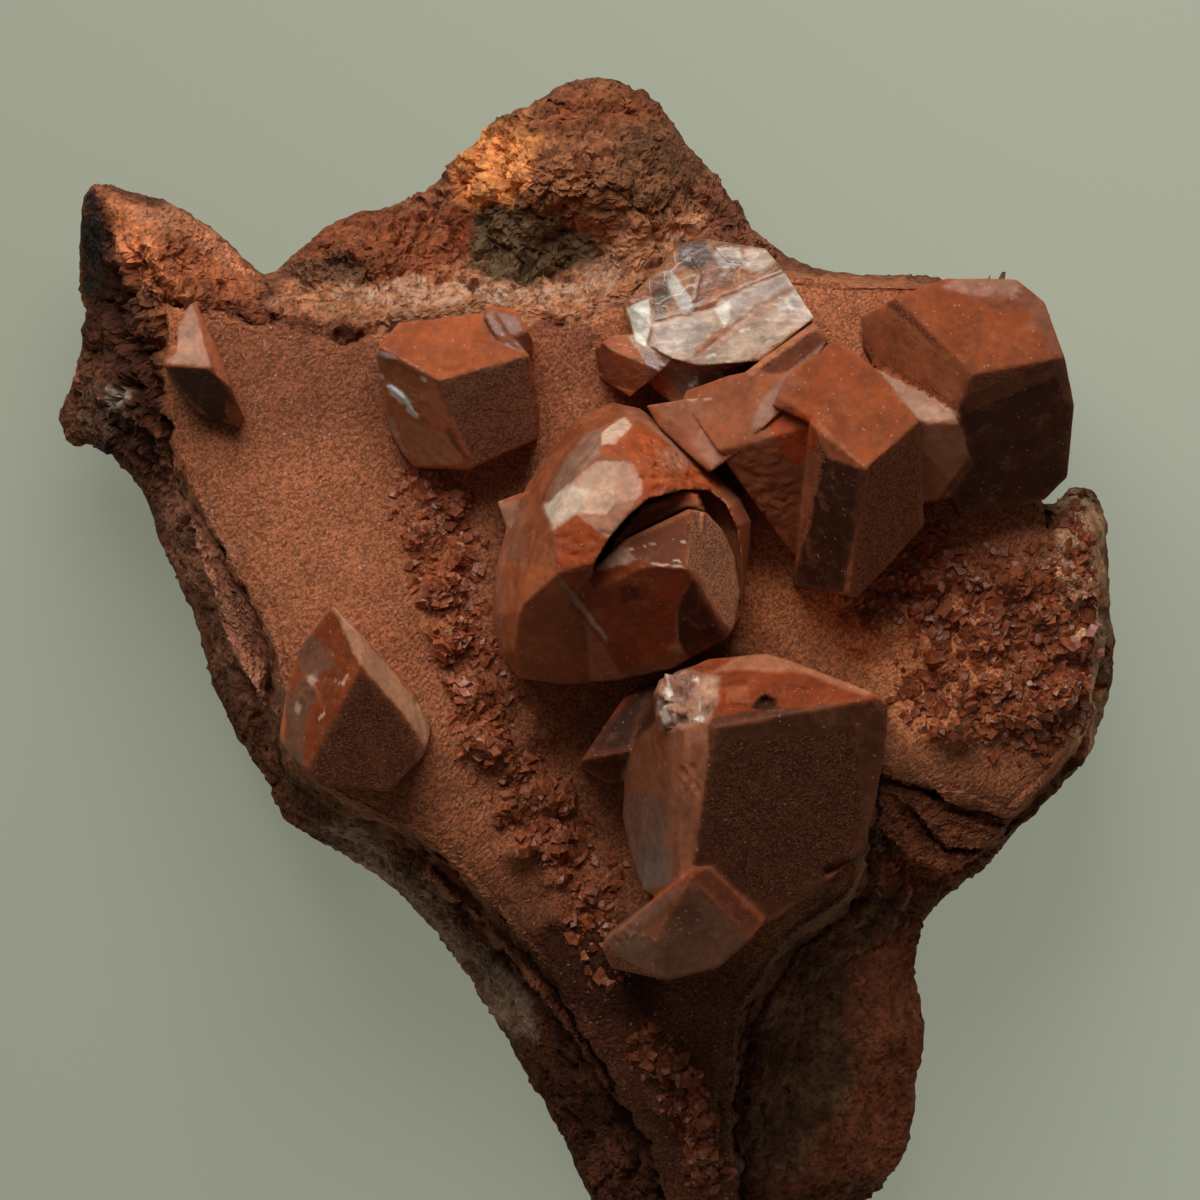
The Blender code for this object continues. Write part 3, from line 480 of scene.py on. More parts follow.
def buildRock():
    packed = mergedCopy("matrix")
    heightAt = reliefOf(packed)
    print("relief read")
    mesh = remeshed(packed, mode="VOXEL", voxel_size=rock["grain"])
    fineFront(mesh)
    points, normals = readPoints(mesh), readNormals(mesh)
    plan = points[:, :2]
    front = eased(normals[:, 2], 0.05, 0.45)

    depth, nearest = depthInside(plan, crustEdge)
    height, size = rock["ragged"]
    brokenDepth = depth + height * 2 * rockNoise(plan, size * 2, 5)
    inward = (plan - nearest) * np.sign(depth)[:, None] / np.maximum(np.abs(depth), 1e-6)[:, None]
    reach = rock["edgeReach"]
    crustSide = np.where((depth < reach)[:, None], nearest + inward * reach, plan)
    rockSide = np.where((depth > -reach)[:, None], nearest - inward * reach, plan)
    covered = eased(brokenDepth, -0.07, 0.07)
    crustTop = heightAt(crustSide)
    rockTop = np.minimum(heightAt(rockSide), crustTop)
    target = rockTop + (crustTop - rockTop) * covered

    # the next layer shows where the top one has broken off
    layer = np.zeros(len(plan))
    torn = strayed(plan, 0.12, 0.8, (14, 18))
    for outline, step in terraces:
        share = eased(depthInside(torn, outline)[0], -0.08, 0.1) * (1 - covered)
        level = crustTop - step - 0.25 * np.maximum(-depth, 0) + 0.1 * rockNoise(plan, 0.7, 24)
        target += share * (np.maximum(level, target) - target)
        layer = np.maximum(layer, share)

    # below it broken layers step down
    tall, wide = rock["ledges"]
    outside = -depth + 0.6 * rockNoise(plan, 2.4, 12)
    share = outside / wide - np.floor(outside / wide)
    layered = eased(-depth, 0.0, 0.2) * eased(rock["ledgeReach"] + depth, 0, 1.2)
    layered = layered * (plan[:, 1] < rock["lumpStart"]) * (1 - layer)
    target += tall * layered * (share - eased(share, 0.85, 1.0) - 0.45)
    deep, width = rock["crack"]
    opened = eased(rockNoise(plan, 3.0, 29), -0.35, 0.1) * (plan[:, 1] < rock["lumpStart"] + 1)
    target -= deep * opened * np.exp(-(((brokenDepth + 0.12) / width) ** 2))

    # lumps, broken blocks and pits on the bare rock, and low waves on the crust
    bareShare = (1 - covered) * (1 - 0.75 * layer)
    calm = np.zeros(len(plan))
    bent = plan + 0.3 * lumpNoise(points, 0.9, 17)[:, None]
    for outline, share in calmPlaces:
        calm += share * eased(depthInside(bent, outline)[0], -0.25, 0.3)
    calm = np.clip(calm, -0.8, 0.95)
    for number, (height, size) in enumerate(rock["lumps"]):
        target += height * bareShare * (1 - 0.7 * calm) * rockNoise(points, size, 40 + 5 * number)
    crags = np.zeros(len(points))
    bent = strayed(points, 0.25, 0.9, (33, 35, 37))
    for number, (height, size) in enumerate(rock["crags"]):
        level, border = cragNoise(bent, size, 70 + 9 * number)
        crags += height * (level - 0.9 * (1 - eased(border, 0, 0.22)))
    crags *= (1 - calm) * (0.35 + eased(rockNoise(points, 3.2, 95), -0.45, 0.4))
    deep, size = rock["pits"]
    target -= deep * bareShare * (1 - calm) * eased(rockNoise(points, size, 57), 0.3, 0.75)
    for number, (height, size) in enumerate(rock["waves"]):
        target += height * covered * rockNoise(plan, size, 60 + 5 * number)
    rough = druseShare(plan) * eased(depth, 0, 0.8)
    target += rough * (0.3 * rockNoise(points, 0.75, 81) + 0.14 * rockNoise(points, 0.3, 85, 2))
    target += rock["rise"] * eased(depth, 0, 0.5)

    points[:, 2] += front * (target - heightAt(plan))
    rise = crags * (bareShare * front + rock["sideCrags"] * (1 - front))
    rise = rise + 0.1 * rockNoise(points, 0.9, 90) * (1 - front)
    points += normals * (rise * eased(points[:, 2], 0.3, 1.5))[:, None]
    chance = np.random.default_rng(3)
    grit = rock["grit"] * (0.8 + 1.2 * np.maximum(bareShare, layer))
    points += chance.normal(0, 1, points.shape) * (grit * eased(points[:, 2], 0.5, 2.0))[:, None]
    points[:, 2] = np.maximum(points[:, 2], 0)
    writePoints(mesh, points)

    # colour: crust over bare rock over the dark underside
    tint = np.array(rock["bare"]) + (np.array(rock["crust"]) - np.array(rock["bare"])) * covered[:, None]
    blend(tint, rock["layer"], layer)
    pale = np.zeros(len(points))
    seeds = (101, 107)
    stray = np.stack([0.5 * rockNoise(plan, 1.2, seed, 4) + 0.2 * rockNoise(plan, 0.3, seed + 3) for seed in seeds], 1)
    for outline, soft, strength, colour, *grains in rockPatches:
        reached, _ = depthInside(plan + min(1.0, 2.5 * soft) * stray, outline)
        share = strength * eased(reached, -soft / 2, soft / 2)
        blend(tint, colour, share)
        blend(pale, grains[0] if grains else 0.0, share)
    blend(tint, rock["under"], 0.8 * (1 - eased(normals[:, 2], -0.3, 0.25)))
    setAttribute(mesh, "tint", tint)
    setAttribute(mesh, "crust", np.maximum(covered, 0.6 * layer) * front)
    setAttribute(mesh, "pale", pale * front)
    setAttribute(mesh, "druse", np.clip(rough, 0, 1) * front)
    return mesh, heightAt


def rockFinish():
    look = Shading("matrix_rock")
    tint, crust, pale = look.attribute("tint", "Color"), look.attribute("crust"), look.attribute("pale")
    bare = look.math("SUBTRACT", 1.0, crust)
    grains = look.cellNumbers(0.085)
    blotch = look.noise(2.2, 5.0, 0.65)
    fine = look.noise(0.45, 4.0, 0.7)
    shade = look.times(look.ramp(blotch, 0.3, 0.7, 0.62, 1.35), look.ramp(fine, 0.3, 0.7, 0.6, 1.38))
    sand = look.times(look.ramp(grains[0], 0.0, 1.0, 0.6, 1.4), look.ramp(blotch, 0.3, 0.7, 0.9, 1.1))
    colour = look.scaled(tint, look.number(crust, shade, sand))
    rust = look.ramp(look.noise(1.1, 4.0, 0.6, 0.6), 0.55, 0.68)  # redder stains on the bare rock
    colour = look.mix(look.times(look.times(rust, bare), 0.45), colour, (0.24, 0.045, 0.014))
    speck = look.ramp(look.noise(0.22, 2.0, 0.5), 0.6, 0.7)  # and dark specks
    colour = look.mix(look.times(look.times(speck, bare), 0.6), colour, (0.016, 0.011, 0.008))
    white = look.times(look.ramp(look.cellNumbers(0.24)[1], 0.6, 0.85), pale)
    colour = look.mix(white, colour, (0.62, 0.43, 0.31))
    gold = look.times(look.ramp(grains[2], 0.93, 0.96), pale)
    colour = look.mix(gold, colour, (0.5, 0.2, 0.04))
    glint = look.ramp(look.cellNumbers(0.065)[0], 0.986, 0.994)
    glint = look.times(glint, look.number(crust, 0.1, 0.42))  # painted glints: a few grains painted bright, and made glossier
    colour = look.mix(glint, colour, (0.75, 0.5, 0.38))
    look.set("Base Color", colour)
    look.set("Roughness", look.number(look.math("MAXIMUM", glint, white), 0.88, 0.35))
    look.set("Specular IOR Level", 0.2)
    rough = look.bump(look.times(fine, look.number(crust, 1.0, 0.3)), 0.14, 0.9)
    look.set("Normal", look.bump(grains[0], 0.03, 0.7, rough))
    return look.material


rockMesh, heightAt = buildRock()
rockPiece = placePiece("crusted_rock", rockMesh, rockFinish(), ["matrix"], smooth=False)

# the crystals
# paint: outline, softness, colour and, where they aren't 0, how clear and how dusty it is; some of it is painted
# highlight or painted shade
# lines: a crack or ridge along a line, its width, and its depth, which is negative for a ridge
# broken: outline of a place broken into small faces, their height and their size
# corners: a solid round these points of the sheet, each with its height, and their copies lower by the drop
crystals = {
    "small_wedge": {
        "node": "small_wedge_crystal", "slot": "red_calcite", "detail": 6, "top": (0.34, 0.095, 0.04),
        "paint": [
            ([150, 300, 184, 296, 186, 312, 178, 346, 164, 366, 148, 366], 0.12, (0.26, 0.07, 0.025)),
            # the facet that faces the light is painted pale, partly a painted highlight; the lower face is painted
            # near black as painted shade; its tip is painted orange as painted light shining through
            ([167, 364, 180, 352, 181, 322, 194, 304, 203, 330, 210, 358, 212, 368], 0.06, (0.5, 0.27, 0.18)),
            ([165, 367, 215, 370, 245, 418, 215, 422, 165, 374], 0.08, (0.055, 0.014, 0.006), 0.1),
            ([226, 400, 240, 408, 247, 421, 229, 422], 0.12, (0.3, 0.06, 0.015), 0.2),
        ],
        "broken": [([150, 298, 182, 298, 180, 346, 164, 364, 148, 362], 0.16, 0.5)],
    },
    "upper_left": {
        "node": "upper_left_crystal", "slot": "red_calcite", "detail": 6, "top": (0.37, 0.084, 0.022),
        "paint": [
            ([436, 384, 525, 356, 545, 470, 473, 468], 0.1, (0.255, 0.105, 0.054), 0.0, 0.9),
            ([375, 350, 388, 350, 424, 373, 437, 385, 475, 466, 412, 474, 388, 425, 376, 380], 0.15, (0.56, 0.17,
                0.065), 0.45),
            ([378, 352, 400, 358, 432, 384, 428, 396, 398, 378], 0.2, (0.42, 0.115, 0.035), 0.3),
            ([396, 418, 414, 420, 448, 440, 462, 464, 424, 468, 404, 446], 0.4, (0.6, 0.25, 0.11), 0.4),
            # painted highlights: the white streak and small pale specks stand for light caught by fractures in the
            # glassy face
            ([388, 388, 393, 387, 399, 391, 404, 396, 411, 403, 416, 411, 421, 418, 417, 419, 410, 413, 406, 411, 407,
                406, 400, 404, 392, 397], 0.05, (0.98, 0.93, 0.84)),
            ([398, 388, 404, 394, 412, 401, 419, 412, 412, 403, 404, 396], 0.05, (0.9, 0.45, 0.1), 0.1),
            ([374, 353, 379, 352, 396, 357, 399, 361, 390, 361, 380, 358], 0.04, (0.85, 0.7, 0.56), 0.1),
            ([380, 375, 385, 377, 386, 382, 381, 380], 0.04, (0.9, 0.8, 0.68)),
            ([423, 378, 428, 380, 429, 385, 424, 383], 0.04, (0.85, 0.7, 0.56)),
            ([388, 419, 393, 418, 400, 440, 407, 452, 402, 451, 393, 436], 0.05, (0.56, 0.34, 0.22), 0.1),
            ([416, 466, 470, 464, 474, 470, 420, 474], 0.08, (0.42, 0.12, 0.035), 0.1),
            ([444, 430, 450, 428, 472, 462, 466, 464], 0.06, (0.24, 0.075, 0.035), 0.2),
            ([482, 321, 495, 312, 519, 318, 531, 352, 525, 355, 495, 344], 0.12, (0.3, 0.1, 0.05), 0.35),
        ],
        "lines": [
            ([376, 352, 395, 362, 424, 374], 0.12, -0.07), ([500, 318, 522, 352], 0.1, 0.06), ([485, 342, 505, 348,
            526, 355], 0.07, -0.06), ([436, 386, 452, 425, 470, 464], 0.08, -0.05), ([414, 420, 424, 440, 444, 462],
            0.08, 0.05), ([389, 388, 404, 399, 420, 417], 0.1, -0.22),
        ],
        "broken": [
            ([440, 370, 466, 362, 482, 356, 484, 366, 462, 376, 442, 380], 0.09, 0.24), ([396, 380, 416, 384, 428,
            402, 420, 414, 404, 400], 0.07, 0.3),
        ],
    },
    "clear_cleaved": {
        "node": "clear_cleaved_crystal", "slot": "clear_calcite", "detail": 7, "top": (0.58, 0.25, 0.105),
        "paint": [
            ([694, 250, 730, 244, 742, 262, 730, 290, 700, 312, 684, 300, 700, 276], 0.3, (0.5, 0.2, 0.1), 0.6),
            ([680, 244, 704, 240, 712, 262, 692, 272, 676, 262], 0.2, (0.3, 0.17, 0.12), 0.7),
            ([652, 285, 664, 276, 672, 296, 662, 320, 652, 316], 0.15, (0.32, 0.2, 0.13), 0.7),
            ([664, 272, 672, 272, 690, 300, 694, 312, 680, 312, 670, 296], 0.12, (0.86, 0.76, 0.62), 0.5),
            ([712, 258, 716, 250, 738, 250, 744, 262, 728, 272, 718, 268], 0.15, (0.8, 0.64, 0.5), 0.55),
            ([744, 252, 766, 250, 776, 262, 762, 276, 746, 272], 0.25, (0.82, 0.62, 0.46), 0.35),
            ([692, 316, 724, 300, 740, 290, 736, 284, 706, 300], 0.1, (0.56, 0.2, 0.08), 0.3),
            ([640, 352, 700, 372, 727, 391, 690, 402, 650, 385], 0.2, (0.34, 0.15, 0.09), 0.5),
            ([648, 349, 654, 324, 712, 312, 721, 303, 786, 275, 813, 320, 779, 343, 727, 372, 697, 370, 672, 359],
                0.06, (0.6, 0.42, 0.3), 0.06),
            ([648, 349, 654, 326, 700, 318, 712, 332, 690, 350, 672, 359], 0.5, (0.64, 0.5, 0.41), 0.06),
            ([722, 302, 786, 275, 813, 320, 800, 326, 760, 300, 727, 318], 0.6, (0.66, 0.52, 0.44), 0.06),
            ([672, 366, 692, 358, 704, 346, 726, 330, 756, 308, 784, 288, 794, 292, 762, 318, 730, 342, 704, 364],
                0.2, (0.56, 0.33, 0.23), 0.06),
            ([694, 350, 712, 338, 728, 326, 728, 331, 712, 344, 696, 356], 0.05, (0.5, 0.2, 0.1), 0.06),
            # painted glints: tiny white spots on the frosted face
            ([738, 333, 748, 329, 749, 332, 740, 335], 0.04, (0.92, 0.86, 0.72), 0.06),
            ([704, 358, 714, 355, 716, 358, 707, 361], 0.04, (0.9, 0.82, 0.66), 0.06),
            ([764, 345, 770, 341, 771, 343, 766, 347], 0.04, (0.9, 0.82, 0.66), 0.06),
            ([786, 300, 792, 312, 790, 316, 783, 303], 0.06, (0.84, 0.76, 0.62), 0.06),
            ([714, 312, 728, 302, 730, 320, 724, 330, 719, 320], 0.06, (0.9, 0.8, 0.66), 0.1),
            ([697, 358, 716, 346, 724, 338, 722, 344, 700, 362], 0.06, (0.5, 0.26, 0.17)),
            ([626, 309, 648, 300, 651, 324, 645, 349, 635, 342], 0.08, (0.84, 0.78, 0.64), 0.05),
            ([590, 352, 598, 344, 622, 330, 650, 372, 640, 372, 610, 350], 0.1, (0.36, 0.11, 0.045)),
            ([594, 352, 602, 350, 606, 372, 612, 386, 600, 380], 0.08, (0.4, 0.25, 0.18), 0.2),
            ([596, 350, 604, 348, 640, 372, 648, 380, 638, 392, 612, 386, 598, 372], 0.1, (0.34, 0.09, 0.034), 0.1),
            ([598, 376, 612, 386, 640, 393, 650, 396, 640, 402, 600, 396], 0.1, (0.64, 0.19, 0.055)),
        ],
        "lines": [
            ([688, 366, 702, 352, 726, 334, 756, 312, 790, 291], 0.08, 0.07), ([654, 323, 690, 316, 712, 310, 722,
            300, 786, 274], 0.09, 0.05), ([698, 360, 712, 345, 726, 332], 0.07, 0.05), ([655, 322, 692, 315], 0.06,
            -0.05), ([672, 360, 700, 366, 728, 372], 0.08, -0.04), ([690, 262, 700, 276, 694, 300], 0.06, 0.05),
            ([716, 250, 730, 262, 742, 262], 0.06, -0.06),
        ],
        "glass": 0.5,
    },
    "clear_foot": {  # the darker lower part of the clear crystal, under its frosted face
        "node": "clear_cleaved_crystal", "slot": "clear_calcite", "detail": 6, "top": (0.36, 0.17, 0.11),
        "corners": [
            (640, 346, 15.6), (672, 352, 16.2), (720, 362, 16.5), (800, 328, 16.6), (826, 338, 15.8), (812, 356,
            15.6),
            (760, 384, 15.5), (726, 403, 15.2), (692, 410, 15.1), (668, 402, 15.1), (646, 382, 14.8),
        ],
        "drop": 3.2,
        "paint": [
            ([664, 368, 700, 370, 716, 382, 702, 395, 676, 393], 0.2, (0.34, 0.22, 0.15), 0.5),
            # painted glint on the dark glass
            ([688, 386, 696, 378, 700, 382, 692, 390], 0.06, (0.85, 0.78, 0.68), 0.2),
            ([722, 372, 790, 344, 826, 330, 812, 360, 762, 388, 726, 388], 0.15, (0.13, 0.03, 0.01)),
            ([672, 396, 700, 399, 722, 392, 748, 374, 752, 380, 724, 400, 692, 408, 668, 402], 0.1, (0.62, 0.36,
                0.24), 0.1),
            ([636, 352, 650, 366, 664, 380, 684, 400, 650, 400, 636, 372], 0.15, (0.42, 0.12, 0.045)),
        ],
        "glass": 0.35,
    },
    "frosted_bridge": {  # between the central crystal and the leaning one
        "node": "right_cluster", "slot": "red_calcite", "detail": 6, "top": (0.34, 0.1, 0.04),
        "corners": [
            (646, 407, 17.5), (684, 401, 18.3), (716, 399, 18.5), (742, 450, 19.2), (708, 474, 18.9), (683, 451,
            18.3), (658, 428, 17.8),
        ],
        "drop": 4.5,
        "paint": [
            ([652, 404, 684, 398, 700, 404, 720, 440, 713, 470, 690, 444, 668, 424], 0.6, (0.4, 0.15, 0.08)),
            ([690, 446, 700, 430, 722, 458, 713, 472], 0.4, (0.44, 0.2, 0.12)),
            ([684, 400, 694, 398, 698, 401, 690, 403], 0.05, (0.62, 0.36, 0.24)),
            ([702, 399, 713, 398, 711, 401, 704, 402], 0.05, (0.66, 0.4, 0.28)),
        ],
    },
    "frosted_rim": {
        "node": "right_cluster", "slot": "red_calcite", "detail": 6, "top": (0.34, 0.1, 0.04),
        "corners": [
            (712, 400, 17.7), (735, 381, 18.1), (762, 360, 18.3), (812, 325, 18.6), (826, 342, 18.9), (790, 404,
            19.3),
            (768, 424, 19.4), (736, 452, 19.1), (716, 440, 18.7),
        ],
        "drop": 4.5,
        "paint": [
            ([712, 400, 735, 381, 762, 360, 812, 325, 815, 330, 765, 366, 738, 388, 716, 407], 0.06, (0.5, 0.19,
                0.09)),
            ([758, 371, 768, 364, 812, 333, 828, 340, 822, 350, 786, 374, 770, 376], 0.1, (0.1, 0.024, 0.009)),
            ([808, 358, 824, 344, 832, 352, 804, 380, 782, 404, 764, 428, 748, 430, 760, 402, 784, 376], 0.15, (0.36,
                0.19, 0.135), 0.1),
            ([716, 440, 736, 440, 740, 452, 726, 462], 0.4, (0.46, 0.2, 0.12)),
        ],
        "lines": [([806, 350, 790, 376, 778, 396], 0.1, 0.1), ([714, 402, 738, 384, 764, 363, 812, 329], 0.07,
            -0.06)],
        "broken": [([712, 398, 735, 379, 812, 323, 818, 334, 740, 390, 716, 412], 0.06, 0.25)],
    },
    "central": {
        "node": "central_crystal", "slot": "glassy_calcite", "detail": 7, "top": (0.34, 0.11, 0.05), "dust": 0.0,
        "paint": [
            ([490, 420, 560, 400, 620, 402, 622, 418, 600, 436, 600, 456, 545, 504, 556, 531, 558, 600, 600, 700, 490,
                700], 0.6, (0.37, 0.1, 0.038), 0.35),
            ([490, 520, 520, 500, 532, 600, 545, 690, 500, 690], 0.8, (0.42, 0.15, 0.078), 0.35),
            ([545, 504, 560, 470, 586, 436, 600, 432, 600, 456, 575, 480], 0.3, (0.4, 0.2, 0.13), 0.4),
            ([556, 560, 600, 580, 660, 690, 540, 690, 530, 640], 0.7, (0.34, 0.095, 0.036), 0.2),
            ([506, 560, 556, 572, 572, 610, 600, 690, 500, 690], 0.3, (0.44, 0.11, 0.035), 0.1),
            ([640, 640, 690, 655, 680, 680, 620, 690], 0.4, (0.2, 0.055, 0.02), 0.1),
            ([632, 427, 652, 422, 680, 438, 717, 476, 725, 488, 693, 501, 664, 505, 638, 504, 640, 489, 638, 477, 626,
                461, 602, 457, 602, 449, 616, 445], 0.12, (0.43, 0.084, 0.021), 0.05),
            ([658, 450, 684, 448, 694, 466, 676, 474, 660, 470], 0.3, (0.46, 0.16, 0.085)),
            ([640, 420, 660, 425, 715, 474, 700, 470, 660, 440], 0.2, (0.5, 0.19, 0.1)),
            ([554, 529, 579, 516, 599, 532, 609, 542, 593, 572, 583, 580, 573, 595, 563, 586, 553, 574, 559, 554],
                0.12, (0.37, 0.066, 0.015), 0.05),
            # the cream facet: partly its pale colour, partly a painted reflection of the lamp on it
            ([545, 506, 597, 463, 622, 463, 632, 467, 640, 483, 641, 495, 634, 503, 616, 503, 606, 516, 577, 516, 554,
                529], 0.05, (0.64, 0.39, 0.26)),
            ([622, 463, 632, 467, 640, 483, 641, 495, 634, 503, 618, 503, 612, 490], 0.12, (0.56, 0.3, 0.2)),
            ([545, 506, 570, 486, 590, 490, 580, 512, 554, 529], 0.3, (0.8, 0.6, 0.44)),
            ([577, 516, 606, 516, 616, 502, 634, 504, 616, 532, 607, 537, 599, 532, 587, 524], 0.06, (0.5, 0.23,
                0.14)),
            ([601, 436, 623, 418, 632, 427, 614, 447, 601, 447], 0.06, (0.66, 0.42, 0.3)),
            # painted shadow under the hollow's rim, over a dusty face
            ([606, 545, 640, 515, 668, 507, 700, 505, 690, 513, 640, 533, 624, 545, 600, 568], 0.08, (0.16, 0.06,
                0.03), 0.0, 0.5),
            ([600, 566, 622, 540, 650, 525, 690, 511, 688, 520, 650, 535, 626, 548], 0.06, (0.42, 0.13, 0.05), 0.1),
            ([593, 573, 622, 546, 636, 560], 0.05, (0.6, 0.34, 0.24), 0.1),
            ([626, 548, 630, 542, 688, 514, 690, 520, 686, 564, 684, 569, 658, 566, 636, 560], 0.05, (0.19, 0.041,
                0.011), 0.12),
            ([626, 549.4, 633, 548.8, 633, 550, 627, 550.4], 0.02, (0.8, 0.62, 0.5)),
            ([642, 547, 654, 546, 654, 547, 642, 548], 0.02, (0.7, 0.5, 0.38)),
            ([672, 560, 680, 561, 680, 562.2, 673, 562], 0.02, (0.8, 0.62, 0.5)),
            ([680, 541, 685, 541, 685, 542.4, 680, 542.2], 0.02, (0.8, 0.62, 0.5)),
            ([593, 573, 636, 561, 684, 569, 693, 576, 684, 590, 676, 610, 674, 640, 660, 655, 620, 672, 604, 646, 570,
                606], 0.12, (0.26, 0.04, 0.009), 0.15),
            ([618, 588, 630, 584, 640, 590, 636, 602, 622, 602], 0.2, (0.12, 0.02, 0.006), 0.1),
            # painted shade in the recess between the front face and the sandy face
            ([693, 578, 716, 616, 730, 634, 694, 661, 684, 655, 676, 636, 678, 604], 0.12, (0.045, 0.01, 0.004), 0.1),
            ([690, 512, 709, 509, 723, 532, 731, 554, 739, 588, 739, 607, 731, 629, 723, 623, 703, 584, 688, 568],
                0.06, (0.44, 0.18, 0.09), 0.0, 0.75),
            ([724, 488, 744, 505, 750, 517, 748, 550, 741, 590, 738, 586, 733, 560, 725, 532, 709, 508], 0.08, (0.4,
                0.12, 0.05), 0.2),
            ([556, 575, 558, 574, 588, 611, 608, 638, 605, 640, 585, 616], 0.05, (0.4, 0.22, 0.16), 0.2),
            ([648, 562, 662, 565.5, 684, 567.4, 684, 568.8, 661, 567.2, 648, 563.4], 0.03, (0.8, 0.5, 0.36)),
            ([498, 505, 522, 498, 512, 530], 0.1, (0.5, 0.24, 0.15), 0.2),
        ],
        "lines": [
            ([640, 480, 664, 480, 696, 476, 708, 478, 722, 488], 0.09, 0.12), ([632, 427, 650, 440, 676, 452, 690,
            474], 0.08, -0.05), ([556, 576, 583, 610, 610, 643], 0.08, -0.05), ([601, 533, 614, 535, 610, 545], 0.08,
            0.12), ([728, 510, 740, 520, 732, 530], 0.08, 0.12), ([568, 488, 580, 492], 0.06, 0.05), ([588, 484, 598,
            490], 0.06, 0.05), ([577, 516, 606, 516, 618, 503], 0.06, -0.05), ([636, 560, 660, 567, 685, 569], 0.07,
            -0.06), ([664, 450, 672, 449, 678, 454], 0.06, 0.08), ([604, 447, 626, 462, 640, 488], 0.06, 0.05),
        ],
        "broken": [
            ([634, 430, 660, 438, 700, 470, 720, 486, 690, 500, 645, 500, 640, 476], 0.07, 0.45), ([552, 534, 598,
            534, 606, 544, 580, 580, 556, 572], 0.05, 0.3),
        ],
        "filled": ([594, 578, 612, 540, 640, 505, 684, 488, 698, 494, 704, 510, 702, 532, 694, 540], 20.8),
    },
    "right_cluster_group": {
        "node": "right_cluster", "slot": "red_calcite", "detail": 7, "top": (0.27, 0.056, 0.0125),
        "paint": [
            ([670, 405, 780, 362, 800, 385, 770, 420, 740, 450, 700, 470], 0.3, (0.33, 0.092, 0.034)),
            ([715, 470, 770, 424, 795, 466, 816, 456, 816, 505, 777, 545, 750, 570, 745, 510], 0.15, (0.26, 0.075,
                0.03), 0.1, 0.25),
            ([766, 424, 777, 411, 812, 417, 813, 446, 796, 467, 778, 452], 0.12, (0.33, 0.04, 0.003), 0.1),
            ([822, 458, 863, 472, 855, 528, 840, 592, 788, 590, 809, 528, 817, 474], 0.06, (0.018, 0.006, 0.0035),
                0.1, 0.06),
            ([812, 418, 847, 458, 863, 472, 824, 460, 814, 440], 0.06, (0.42, 0.12, 0.045), 0.05),
            ([857, 314, 884, 308, 967, 376, 954, 405, 898, 373, 874, 360, 860, 334], 0.1, (0.35, 0.1, 0.038), 0.25),
            ([874, 372, 919, 394, 954, 415, 957, 421, 938, 426, 922, 426, 911, 418], 0.05, (0.5, 0.29, 0.19)),
            ([919, 429, 955, 420, 967, 458, 949, 482, 919, 453], 0.08, (0.33, 0.118, 0.055), 0.15),
            ([919, 453, 949, 482, 940, 500, 921, 520, 916, 480], 0.12, (0.26, 0.07, 0.03), 0.1),
            ([953, 404, 1060, 356, 1076, 410, 1070, 484, 1000, 516, 950, 524, 922, 520, 940, 496, 949, 482, 967, 458,
                957, 421], 0.1, (0.052, 0.013, 0.005), 0.05, 0.1),
            ([955, 403, 1060, 357, 1066, 372, 1010, 396, 962, 416], 0.12, (0.15, 0.04, 0.016), 0.1),
            ([938, 289, 955, 281, 1018, 282, 1018, 300, 965, 300], 0.12, (0.42, 0.2, 0.13), 0.1),
            ([972, 301, 1020, 299, 1022, 312, 996, 318], 0.12, (0.22, 0.06, 0.025)),
            ([1018, 284, 1045, 310, 1062, 358, 1075, 410, 1058, 400, 1040, 340, 1018, 305], 0.15, (0.2, 0.07, 0.035)),
        ],
        "lines": [
            ([828, 344, 860, 380, 915, 421], 0.1, -0.03), ([884, 308, 925, 345, 967, 376], 0.1, 0.05), ([740, 470,
            760, 480, 775, 500], 0.12, 0.09), ([755, 500, 775, 490, 790, 505], 0.14, 0.08), ([748, 520, 770, 525],
            0.12, 0.08), ([965, 301, 1018, 299], 0.1, 0.08), ([776, 412, 800, 405, 818, 415], 0.08, -0.06), ([812,
            417, 838, 446, 863, 471], 0.09, -0.06), ([930, 345, 960, 330, 1000, 322], 0.07, 0.05), ([980, 330, 1010,
            345, 1040, 350], 0.07, 0.05),
        ],
        "broken": [
            ([735, 462, 760, 440, 790, 462, 800, 505, 780, 540, 752, 560, 742, 510], 0.045, 0.28), ([955, 284, 1018,
            284, 1024, 312, 990, 318, 966, 302], 0.09, 0.4),
        ],
    },
    "large_block": {
        "node": "large_block_crystal", "slot": "red_calcite", "detail": 7, "top": (0.225, 0.036, 0.006),
        "paint": [
            ([744, 652, 777, 650, 834, 668, 878, 690, 862, 694, 800, 672, 740, 668, 705, 672], 0.2, (0.4, 0.14,
                0.065)),
            ([706, 722, 714, 714, 777, 706, 868, 700, 884, 716, 876, 780, 862, 856, 800, 895, 764, 916, 708, 862, 690,
                870], 0.12, (0.085, 0.026, 0.011), 0.1),
            ([726, 740, 846, 728, 858, 790, 852, 852, 790, 896, 757, 900, 706, 850, 702, 800, 712, 760], 0.5, (0.078,
                0.024, 0.01), 0.0, 1.0),
            ([652, 660, 657, 683, 662, 726, 683, 729, 681, 790, 676, 836, 682, 878, 640, 888, 618, 830, 622, 760],
                0.15, (0.28, 0.082, 0.035), 0.35),
            ([616, 800, 640, 790, 664, 800, 668, 880, 640, 890], 0.6, (0.2, 0.095, 0.066), 0.35),
            ([656, 724, 682, 728, 680, 756, 660, 756], 0.3, (0.24, 0.055, 0.018), 0.2),
            ([666, 720, 682, 726, 680, 790, 676, 850, 664, 850, 668, 790], 0.3, (0.3, 0.098, 0.045), 0.25),
